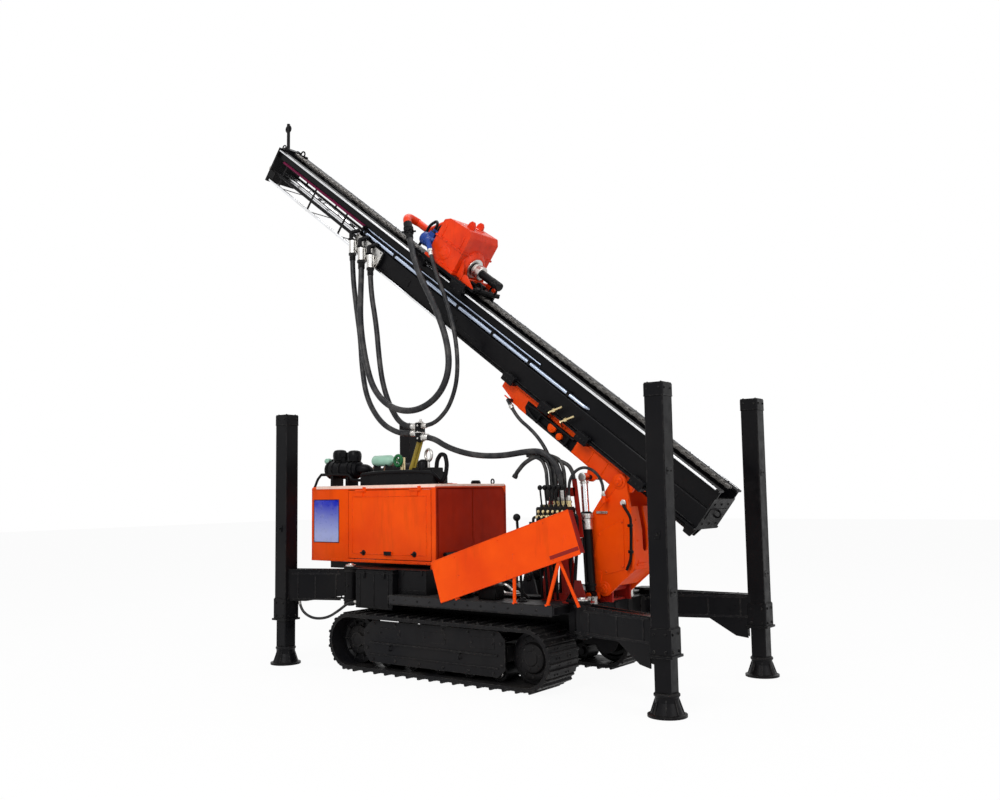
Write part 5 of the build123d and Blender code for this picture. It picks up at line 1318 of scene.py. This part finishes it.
def roof_group():
    """Air cleaner's bands and duct, silencer's straps, and the filters and drum on the tray."""
    top = HOOD_TOP
    dark = Shape()
    for x in (-1800, -1640, -1480):
        dark.turned((x - 9, *AIR_CLEANER), AHEAD, [(0, 80), (3, 90), (15, 90), (18, 80)], 36)
        dark.box((x - 8, x + 8), (-380, -360), (1834, 1848), 3)
    dark.pipe([(-1444, *AIR_CLEANER), (-1400, *AIR_CLEANER), (-1368, -350, 1742), (-1352, -300, 1700),
               (-1350, -250, 1640), (-1350, -240, top - 2)], 46, 20)
    for t in range(5):
        dark.ring((-1350, -240 - t * 2, 1592 + 14 * t), UP, 46, 5, 28, 6)
    for x, z in ((-1690, 1862), (-1500, 1850)):
        dark.turned((x, -376, z), UP,
                    [(-60, 40), (-40, 44), (-30, 62), (10, 68), (40, 66), (62, 54), (70, 30), (72, 6)], 32)
    dark.rod((-1880, -440, 1700), (-1700, -440, 1700), 14, 14)
    dark.pipe([(-1700, -440, 1700), (-1500, -446, 1690), (-1460, -440, 1640), (-1340, -430, 1640)], 14)
    dark.pipe([(-1900, -420, 1700), (-1915, -450, 1660), (-1925, -470, 1600), (-1928, -480, top - 8)], 12)
    for x in (-1310, -1150, -990, -830, -670, -500):
        dark.box((x, x + 14), (-474, -266), (top + 100, top + 114))
    dark.bolts(range(-1300, -460, 92), -470, (top + 30, top + 88), RIGHT, 6, False)
    for k in range(3):
        dark.ring((-1130, -350, top + 70 + 22 * k), (0.05 * k, 0.04, 1), 96 + 5 * k, 13, 40)
    dark.box((-760, -640), (-450, -290), (top + 8, top + 150), 6)
    dark.turned((-650, -380, top + 100), UP, [(0, 48), (90, 50), (110, 42), (124, 20), (126, 5)], 24)
    dark.box((-590, -480), (-440, -300), (top + 8, top + 150), 6)
    for x in (-1220, -1080):
        dark.box((x, x + 14), (-412, -324), (top + 110, 1776), 3)
    dark.pipe([(-500, -372, 1730), (-490, -372, 1800), (-450, -372, 1850), (-400, -372, 1840),
               (-376, -376, 1760), (-390, -380, 1660), (-430, -380, 1610), (-470, -380, 1606)], 19, 14)
    dark.pipe([(-1300, -476, 1690), (-1100, -480, 1704), (-900, -478, 1706), (-640, -476, 1704),
               (-470, -470, 1690), (-448, -420, 1640), (-450, -380, 1600)], 16)
    dark.done("roof_dark_parts", "chassis", BLACK)
    far = Shape()
    for x in (-1760, -1420):
        far.turned((x - 12, *EXHAUST), AHEAD, [(0, 70), (2, 76), (22, 76), (24, 70)], 32)
        far.box((x - 12, x + 12), (300, 460), (top, top + 8))
        for y in (316, 444):
            far.box((x - 10, x + 10), (y - 4, y + 4), (top, EXHAUST[1]))
    far.pipe([(-1884, *EXHAUST), (-1930, 380, 1748), (-1965, 380, 1790)], 27, 18)
    far.ring((-1500, 380, top + 6), UP, 44, 8)
    far.done("exhaust_trim", "chassis", RUSTY)
    pale = Shape()
    pale.turned((-1255, -368, 1812), AHEAD,
                [(0, 26), (6, 40), (20, 50), (210, 50), (226, 40), (240, 26), (262, 22), (266, 12)], 32)
    pale.turned((-1880, -380, 1830), BACK, [(-60, 20), (-50, 26), (-10, 26), (0, 18)], 24)
    pale.done("roof_pale_drum", "chassis", PALE_GREEN)
    x, z = WHEEL
    green = Shape()
    green.ring((x, -400, z), (0.1, 1, 0), 46, 15, 36, 12)
    green.turned((x, -392, z), LEFT, [(0, 10), (4, 16), (16, 16), (20, 8)], 20)
    for a in (0, 60, 120):
        c, s = 44 * cos(radians(a)), 44 * sin(radians(a))
        green.rod((x - c, -396, z - s), (x + c, -396, z + s), 6, 8)
    green.done("roof_green_wheel", "chassis", GREEN)
    stem = Shape()
    stem.rod((x, -388, z), (x, -340, z), 9, 12)
    stem.rod((x, -340, top + 10), (x, -340, 1836), 22, 16)
    stem.rod((x, -362, 1812), (-1000, -364, 1812), 14, 14)
    stem.done("roof_valve", "chassis", BRASS)
    post = Shape()
    post.rod((-772, -440, 1630), (-640, -440, 1960), 19, 20)
    post.plate([(-735, 1722), (-640, 1964), (-600, 1964), (-690, 1722)], 1, -436, 8, 2)
    for x, z in ((-700, 1790), (-655, 1905)):
        post.bolt((x, -441, z), RIGHT, 7)
    post.done("rack_post_sleeve", "chassis", OLIVE)
    block = Shape()
    block.bolts(-612, -492, (1990, 2046, 2102), RIGHT, 8)
    block.bolts(-628, -404, (1990, 2046, 2102), LEFT, 8)
    block.box((-644, -596), (-496, -400), (2038, 2046))
    block.rod((-620, -440, 2110), (-620, -440, 2160), 12, 14)
    block.turned((-620, -440, 2128), UP, [(0, 26), (8, 26), (12, 20), (12, 8)], 20)
    block.ring((-585, -376, 1846), (0.3, 1, 0), 50, 13, 36, 12)
    block.rod((-585, -376, 1735), (-585, -376, 1800), 12, 14)
    block.done("rack_clamp_trim", "chassis", STEEL)


def engine_details():
    """Castings and service parts on the engine block, seen when a door is open."""
    iron = Shape()
    iron.box((-1150, -640), (-130, 130), (1415, 1474), 14)
    for x in range(-1110, -640, 86):
        iron.bolt((x, 0, 1474), UP, 12)
        iron.box((x - 30, x + 30), (-262, -246), (1290, 1350), 10)
        iron.pipe([(x, 246, 1320), (x, 300, 1320), (x + 10, 330, 1290)], 22, 14)
    iron.rod((-1150, 330, 1280), (-640, 330, 1280), 36, 20)
    iron.rod((-1150, -286, 1320), (-660, -286, 1320), 30, 20)
    for side in SIDES:
        iron.bolts(range(-1150, -620, 62), side * 250, (960, 1240), (0, side, 0), 8)
        iron.box((-1168, -612), (side * 248, side * 262), (1222, 1234), 3)
        iron.box((-1168, -612), (side * 248, side * 258), (976, 984), 3)
    iron.turned((-598, 0, 1130), AHEAD,
                [(-2, 200), (30, 200), (40, 180), (40, 90), (70, 84), (110, 80), (120, 60), (120, 8)], 40)
    iron.done("engine_castings", "chassis", IRON)
    dark = Shape()
    for x in (-1080, -990):
        dark.turned((x, -300, 1180), DOWN, [(-10, 40), (0, 44), (110, 44), (124, 36), (128, 6)], 28)
        dark.rod((x, -250, 1170), (x, -300, 1170), 26, 16)
    dark.rod((-800, -262, 1080), (-680, -262, 1080), 58, 28)
    dark.rod((-900, 268, 1100), (-760, 268, 1100), 64, 28)
    dark.pipe([(-640, -286, 1320), (-560, -290, 1330), (-520, -240, 1400), (-520, -60, 1440),
               (-640, 0, 1460)], 24, 14)
    dark.pipe([(-1150, -200, 1000), (-1165, -300, 1010), (-1150, -330, 1080), (-1080, -330, 1180)], 16)
    for k, y in enumerate((-220, -190, 200, 230)):
        dark.pipe([(-1170, y, 960 + 20 * k), (-900, y * 1.28, 950), (-640, y * 1.3, 960), (-520, y, 930)],
                  11, 10)
    dark.done("engine_dark_parts", "chassis", BLACK)


for side in SIDES:
    hood_trim(side)
for make in (hood_plate, hood_ends, roof_group, engine_details):
    make()


# Side panel, valves and deck
PANEL_CORNER = (-212.0, 954.0)
PANEL_SLOPE = radians(17.7)
PANEL_LENGTH = 1400.0
PANEL_DEPTH = 342.0
PANEL_FACE = -795.0
VALVE_X = 640.0
VALVE_Z = 1270.0
SPOOLS = [VALVE_X + 22 + 45 * k for k in range(6)]
PIPE_Z = 676


def panel_at(u, y, v):
    """A point on the slanted panel: u along it, v down from its upper edge."""
    x = PANEL_CORNER[0] + u * cos(PANEL_SLOPE) + v * sin(PANEL_SLOPE)
    z = PANEL_CORNER[1] + u * sin(PANEL_SLOPE) - v * cos(PANEL_SLOPE)
    return machine(x, y, z)


def panel_trim():
    """Rolled edges, screws, front stay and the red folded lip of the slanted panel, with a dark red strip on
    its face painted as the shadow under its bend.
    """
    y = PANEL_FACE + 1
    edge = Shape(panel_at)
    for v in (5, PANEL_DEPTH - 5):
        edge.rod((8, y, v), (PANEL_LENGTH - 8, y, v), 4, 10)
    edge.rod((5, y, 8), (5, y, PANEL_DEPTH - 8), 4, 10)
    edge.bolts((250, 700, 1150), PANEL_FACE, (30, PANEL_DEPTH - 30), RIGHT, 7)
    edge.done("panel_edges", "chassis", ORANGE)
    lip = Shape(panel_at)
    lip.box((PANEL_LENGTH - 3, PANEL_LENGTH + 5), (PANEL_FACE, PANEL_FACE + 52), (8, PANEL_DEPTH - 8))
    # Dark red strip on the panel's face: painted shadow under the bend.
    lip.box((1130, PANEL_LENGTH - 6), (PANEL_FACE - 3, PANEL_FACE + 40), (PANEL_DEPTH - 62, PANEL_DEPTH - 34))
    lip.done("panel_lip_and_painted_shadow", "chassis", RED)
    stay = Shape()
    stay.rod((985, -770, 1070), (1165, -740, DECK_Z + 4), 12, 14)
    stay.done("panel_front_stay", "chassis", ORANGE)


def valve_trim():
    """Plugs, unions, lever boots and pipes of the valve bank, its stand's plates and the hose bundle."""
    x0, z0 = VALVE_X, VALVE_Z
    steel = Shape()
    for x in SPOOLS:
        steel.bolt((x, -508, z0 + 84), RIGHT, 12)
        steel.turned((x, -508, z0 + 42), RIGHT, [(-6, 17), (2, 17), (3, 14), (26, 13), (30, 9), (30, 3)], 16)
        steel.rod((x, -430, z0 + 118), (x, -430, z0 + 138), 11, 12)
    for x, r in ((760, 17), (880, 17), (820, 26)):
        steel.turned((x, -400, 1390), UP, [(0, r * 1.5), (14, r * 1.5), (16, r * 1.2), (28, r * 1.2),
                                           (30, r * 1.45), (46, r * 1.45), (48, r * 1.1)], 6)
    steel.rod((x0 + 268, -440, z0 + 60), (x0 + 300, -440, z0 + 60), 20, 16)
    steel.done("valve_fittings", "chassis", BRASS)
    dark = Shape()
    for k, x in enumerate(SPOOLS):
        dark.turned((x, -455, z0 + 108), (0, -4, 22),
                    [(0, 18), (6, 19), (14, 15), (24, 14), (32, 9), (34, 7)], 18)
        dark.turned((x, -480.5, z0 + 272), (0, -2.5, 18),
                    [(-20, 8), (-14, 17), (0, 20), (12, 17), (19, 8), (21, 3)], 20)
        dark.pipe([(x, -385, 1256), (x, -385, 1050), (x - 6 * k, -385, 820), (x - 8 * k, -385, 674)], 12, 10)
    dark.box((x0 - 6, x0 + 274), (-512, -358), (z0 - 1, z0 + 6))
    dark.box((610, 935), (-566, -560), (1246, 1276))
    dark.pipe([(x0 + 300, -440, z0 + 60), (x0 + 335, -440, z0 + 50), (x0 + 335, -440, z0 - 120),
               (x0 + 300, -440, 760), (x0 + 240, -440, PIPE_Z)], 14)
    for x in range(640, 785, 48):
        dark.pipe([(x, -512, z0 + 42), (x, -548, z0 + 36), (x + 4, -556, z0 - 60), (x + 16, -540, 1120),
                   (x + 30, -500, 900), (x + 20, -470, 674)], 11, 10)
    dark.done("valve_pipes", "chassis", BLACK)
    lever = Shape()
    lever.rod((560, -600, DECK_Z), (540, -628, 1290), 11, 14)
    lever.turned((560, -600, DECK_Z), UP, [(0, 40), (8, 40), (12, 30), (30, 24), (34, 12)], 24)
    knob = [pi * (r + 0.25) / 12.5 for r in range(13)]
    lever.turned((539, -630, 1312), UP, [(-30 * cos(t), 30 * sin(t)) for t in knob], 20)
    lever.done("deck_lever", "chassis", BLACK)
    plates = Shape()
    plates.bolts((648, 858), -431, (720, 1200), RIGHT, 9)
    plates.plate([(930, 664), (1070, 664), (1010, 830), (960, 830)], 1, -470, 14, 2)
    plates.plate([(900, 662), (1090, 662), (1090, 672), (900, 672)], 1, -560, 170, 2)
    plates.plate([(700, 1600), (745, 1600), (665, 1330), (612, 1330)], 1, -337, 8, 2)
    plates.plate([(870, 1610), (912, 1610), (965, 1150), (925, 1150)], 1, -337, 8, 2)
    plates.plate([(700, 1470), (900, 1470), (900, 1540), (700, 1540)], 1, -337, 8, 2)
    plates.done("valve_stand_trim", "chassis", RED)
    bundle = Shape()
    for k in range(5):
        x, y = 700 + 34 * k, -430 + 12 * k
        bundle.pipe([(x, y, 1436), (x, y, 1560), (x - 8, y, 1680), (x - 44, y, 1762), (x - 130, y + 4, 1796),
                     (x - 200, -414, 1802)], 15)
    bundle.pipe([(700, -396, 1766), (790, -370, 1752), (860, -352, 1712), (888, -343, 1650),
                 (892, -341, 1606)], 16)
    bundle.pipe([(640, -424, 1796), (560, -426, 1784), (470, -428, 1736), (405, -430, 1668),
                 (385, -430, 1636)], 18)
    bundle.turned((392, -430, 1646), (-8, 0, -12), [(-6, 20), (4, 23), (22, 23), (26, 12)], 18)
    bundle.done("valve_hose_bundle", "chassis", RUBBER)


def deck_gear():
    """Pipe bundle, manifold and small tank on the deck beside the boom's cylinder."""
    dark = Shape()
    steel = Shape()
    dark.box((-350, -210), (-190, 190), (612, 850), 10)
    dark.bolts(-210, range(-150, 151, 50), 826, AHEAD, 7)
    for k in range(5):
        y, z = -330 - 26 * k, 690 + 6 * k
        dark.pipe([(-380, y, z), (-100, y, PIPE_Z), (300, y - 10, 674), (560, y, PIPE_Z),
                   (640, -385, PIPE_Z)], 11, 10)
        steel.turned((-384, y, z), AHEAD, [(0, 17), (22, 17), (24, 14), (40, 14)], 6)
    for x in (-240, 60, 360):
        dark.box((x, x + 22), (-450, -320), (662, 692), 4)
    dark.turned((-60, -560, DECK_Z), UP,
                [(0, 84), (6, 90), (150, 90), (158, 82), (160, 30), (176, 28), (178, 8)], 32)
    dark.box((150, 330), (-640, -520), (DECK_Z, DECK_Z + 120), 8)
    dark.box((146, 334), (-644, -516), (DECK_Z + 104, DECK_Z + 112))
    dark.pipe([(240, -580, DECK_Z + 120), (240, -580, DECK_Z + 170), (420, -560, DECK_Z + 150),
               (560, -520, PIPE_Z)], 12)
    dark.done("deck_gear", "chassis", BLACK)
    for y in (-110, 0, 110):
        steel.turned((-210, y, 700), AHEAD, [(0, 22), (18, 22), (20, 18), (40, 16)], 6)
        steel.pipe([(-172, y, 700), (-120, y, 700), (-60, y * 1.3, 640), (200, y * 1.3, 632)], 12)
    steel.done("deck_fittings", "chassis", STEEL)


for make in (panel_trim, valve_trim, deck_gear):
    make()


# Boom, cradle and cylinders
BOOM_HALF = 180.0
BOOM_PIN = (1050.0, 745.0)
TILT_PIN = (1210.0, 1580.0)
TILT_CYL_BASE = (970.0, 700.0)
TILT_CYL_EYE = (930.0, 1620.0)
TILT_CYL_Y = 250.0
BOOM_CYL_BASE = (250.0, 800.0)
BOOM_CYL_EYE = (905.0, 1235.0)


def pin_cap(shape, pin, y, out, r):
    """Round keeper plate over a pin's end, with its bolts."""
    x, z = pin
    shape.turned((x, y, z), (0, out, 0),
                 [(-2, r), (6, r), (10, r * 0.86), (10, r * 0.4), (18, r * 0.36), (18, 3)], 28)
    shape.bolt_ring((x, y + out * 9, z), (0, out, 0), r * 0.66, 3, 20, r * 0.15, False)


def pin_boss(shape, pin, y, out, profile):
    shape.turned((pin[0], y, pin[1]), (0, out, 0), profile, 32)


def boom_trim():
    """Doubler plates, rims, pin caps, seams and pipes of the boom."""
    trim = Shape()
    bright = Shape()
    pipes = Shape()
    strip = Shape()
    for side in SIDES:
        face = side * BOOM_HALF
        out = (0, side, 0)
        pin_boss(trim, TILT_PIN, face, side, [(-2, 58), (6, 58), (9, 54), (9, 34)])
        pin_boss(trim, BOOM_PIN, face, side, [(-2, 56), (5, 56), (8, 52), (8, 34)])
        doubler = [(1060, 850), (1240, 900), (1240, 1290), (1010, 1180), (960, 1000)]
        trim.plate(doubler, 1, face - 1 if side > 0 else face - 5, 6, 2)
        for x, z in ((1075, 880), (1225, 920), (1225, 1265), (1020, 1165), (975, 1000)):
            trim.bolt((x, face + side * 5, z), out, 9)
        trim.box((884, 892), (face + side, face - side * 2), (860, 1225), 1)
        trim.rod((900, face, 1236), (1180, face, 1536), 5, 8)
        trim.rod((1316, side * 176, 905), (1314, side * 176, 1180), 6, 8)
        pin_cap(trim, BOOM_PIN, side * 189, side, 36)
        pin_cap(trim, TILT_PIN, side * 192, side, 37)
        bright.box((1000, 1100), (side * 181, side * 192), (1330, 1350))
        bright.turned((925, side * 178, 1180), out, [(0, 15), (12, 15), (14, 12), (26, 11), (26, 3)], 6)
        bright.turned((1250, side * 178, 1415), out, [(0, 26), (24, 26), (26, 20), (38, 19), (38, 3)], 6)
        pipes.pipe([(1250, side * 202, 1415), (1260, side * 211, 1390), (1290, side * 213, 1350),
                    (1320, side * 213, 1300), (1320, side * 213, 1150), (1312, side * 212, 980),
                    (1270, side * 206, 900)], 11)
        for z in (1040, 1240):
            pipes.box((1296, 1334), (side * 201, side * 228), (z - 12, z + 12), 4)
        strip.box((893, 915), (face - side, face + side * 5), (880, 1225))
        edge = [(1274, 930), (1312, 930), (1312, 1372), (1274, 1372)]
        strip.plate(edge, 1, face - 1 if side > 0 else face - 6, 7, 2)
    trim.box((1330, 1340), (-150, 150), (930, 946))
    trim.bolts(1328, (-120, 120), (960, 1120), AHEAD, 8)
    trim.bolts(1312, (-120, 120), 1280, AHEAD, 8)
    trim.done("boom_trim", "boom", ORANGE)
    bright.done("boom_bright_parts", "boom", STEEL)
    pipes.done("boom_pipes", "boom", BLACK)
    strip.done("boom_edge_strips", "boom", ORANGE)


def foot_trim():
    """Red gussets, bolts and unions round the boom's foot bracket, and its cylinder's base."""
    red = Shape()
    ears = Shape()
    for side in SIDES:
        y = side * 152
        red.plate([(730, 612), (960, 642), (1040, 656), (960, 756)], 1, y - 4, 8, 2)
        pin_boss(red, BOOM_PIN, y, side, [(-1, 52), (6, 52), (8, 48), (8, 31)])
        red.bolts((985, 1040), (side * 60, side * 110), 654, UP, 9)
        pin_cap(ears, BOOM_CYL_BASE, side * 80, side, 34)
        ears.plate([(160, 612), (340, 612), (330, 624), (170, 624)], 1, side * 62 - 30, 60, 2)
    red.done("foot_bracket_trim", "chassis", RED)
    steel = Shape()
    for y, x in ((-330, 1000), (-300, 1035), (320, 1010)):
        steel.turned((x, y, 640), UP, [(0, 26), (16, 26), (18, 20), (40, 20), (42, 24), (56, 24), (58, 8)], 6)
    steel.done("deck_unions", "chassis", STEEL)
    ears.done("cylinder_base_trim", "chassis", DARK)


def cylinder_trim(name, body_barrel, body_rod, base, eye, y, barrel_r, rod_r, length):
    """Gland nut, port and feed pipe of a cylinder, and its rod eye's ring."""
    a = Vector((base[0], y, base[1]))
    b = Vector((eye[0], y, eye[1]))
    way = (b - a).normalized()
    tip = a + way * length
    r = barrel_r
    trim = Shape()
    trim.turned(tip, way, [(-46, r + 9), (-44, r + 11), (-6, r + 11), (-2, r + 7), (6, rod_r + 8),
                           (10, rod_r + 6), (10, rod_r + 1.5)], 32)
    trim.turned(a + way * 66, way, [(0, r + 1), (3, r + 6), (17, r + 6), (20, r + 1)], 32)
    aside = Vector((0, -1 if y < 0 else 1, 0))
    for d in (92, length - 70):
        trim.rod(a + way * d + aside * (r - 4), a + way * d + aside * (r + 18), 13, 14)
    trim.pipe([a + way * d + aside * (r + 16) for d in (92, 120, length - 100, length - 70)], 7, 10)
    trim.done(name + "_barrel_trim", body_barrel, BLACK)
    if body_barrel == "tilt_cylinder_barrels":
        sleeve = Shape()
        sleeve.turned(tip - way * 132, way, [(0, r + 1), (3, r + 5), (84, r + 5), (87, r + 1)], 32)
        sleeve.turned(tip, way, [(-44, r + 11.5), (-40, r + 13), (-10, r + 13), (-5, r + 9)], 32)
        sleeve.done(name + "_sleeve", body_barrel, STEEL)
    ring = Shape()
    for side in SIDES:
        ring.turned(b + Vector((0, side * 30, 0)), (0, side, 0), [(-1, 34), (3, 33), (5, 30), (5, 23)], 28)
    ring.turned(b - way * 52, way, [(0, rod_r + 1), (2, rod_r + 6), (16, rod_r + 6), (18, rod_r + 1)], 28)
    ring.done(name + "_eye_trim", body_rod, STEEL)


def cradle_trim():
    """Bosses, bolts, edge strips, struts and pipes of the cradle."""
    orange = Shape(mast)
    dark = Shape(mast)
    for side in SIDES:
        face = side * 150
        out = (0, side, 0)
        strip = (face - side, face + side * 5)
        for s, n, r in ((1500, -104, 42), (1400, -126, 30)):
            boss = [(-4, r), (26, r), (32, r * 0.86), (34, r * 0.5), (38, r * 0.4), (38, 4)]
            orange.turned((s, face, n), out, boss, 28)
        orange.box((700, 2080), strip, (-164, -152))
        orange.box((640, 2120), strip, (-44, -34))
        for s in (900, 1060):
            orange.box((s, s + 10), strip, (-152, -44))
        for s in (515, 1120, 1560, 2020):
            row = (s + 24, s + 60, s + 96)
            dark.box((s - 3, s + 123), (side * 238, side * 246), (-33, 45), 3)
            dark.bolts(row, side * 246, 0, out, 8)
            dark.bolts(row, side * 216, 42, UP, 7)
            dark.bolts(row, side * 200, -30, DOWN, 8)
        guard = [(1240, -168), (1790, -168), (1840, -120), (1840, -58), (1240, -58)]
        dark.plate(guard, 1, 150 if side > 0 else -156, 6, 2)
        dark.pipe([(1260, side * 172, -66), (1500, side * 174, -72), (1700, side * 174, -70),
                   (1820, side * 170, -84)], 13)
        dark.pipe([(1280, side * 170, -150), (1450, side * 170, -152), (1700, side * 170, -146),
                   (1800, side * 168, -120)], 11)
        for s in (1300, 1640):
            dark.box((s, s + 20), (side * 150, side * 188), (-160, -58), 4)
    orange.done("cradle_trim", "cradle", ORANGE)
    dark.turned((2150, 0, -80), AHEAD, [(-40, 40), (6, 40), (10, 34), (16, 10)], 30)
    dark.done("cradle_dark_parts", "cradle", BLACK)
    struts = Shape(mast)
    for s in (1560, 1420):
        struts.rod((s, -170, -40), (s - 10, -252, 10), 10, 12)
        struts.rod((s - 10, -252, 10), (s - 90, -252, 116), 11, 12)
        struts.turned((s - 40, -252, 50), (-1, 0, 1.3), [(-12, 17), (12, 17)], 6)
    struts.done("cradle_struts", "cradle", BRASS)


boom_trim()
foot_trim()
for side in SIDES:
    cylinder_trim("tilt_cylinder_" + hand(side), "tilt_cylinder_barrels", "tilt_cylinder_rods", TILT_CYL_BASE,
                  TILT_CYL_EYE, side * TILT_CYL_Y, 42, 30, 640)
cylinder_trim("boom_cylinder", "boom_cylinder_barrel", "boom_cylinder_rod", BOOM_CYL_BASE, BOOM_CYL_EYE, 0,
              50, 28, 560)
cradle_trim()
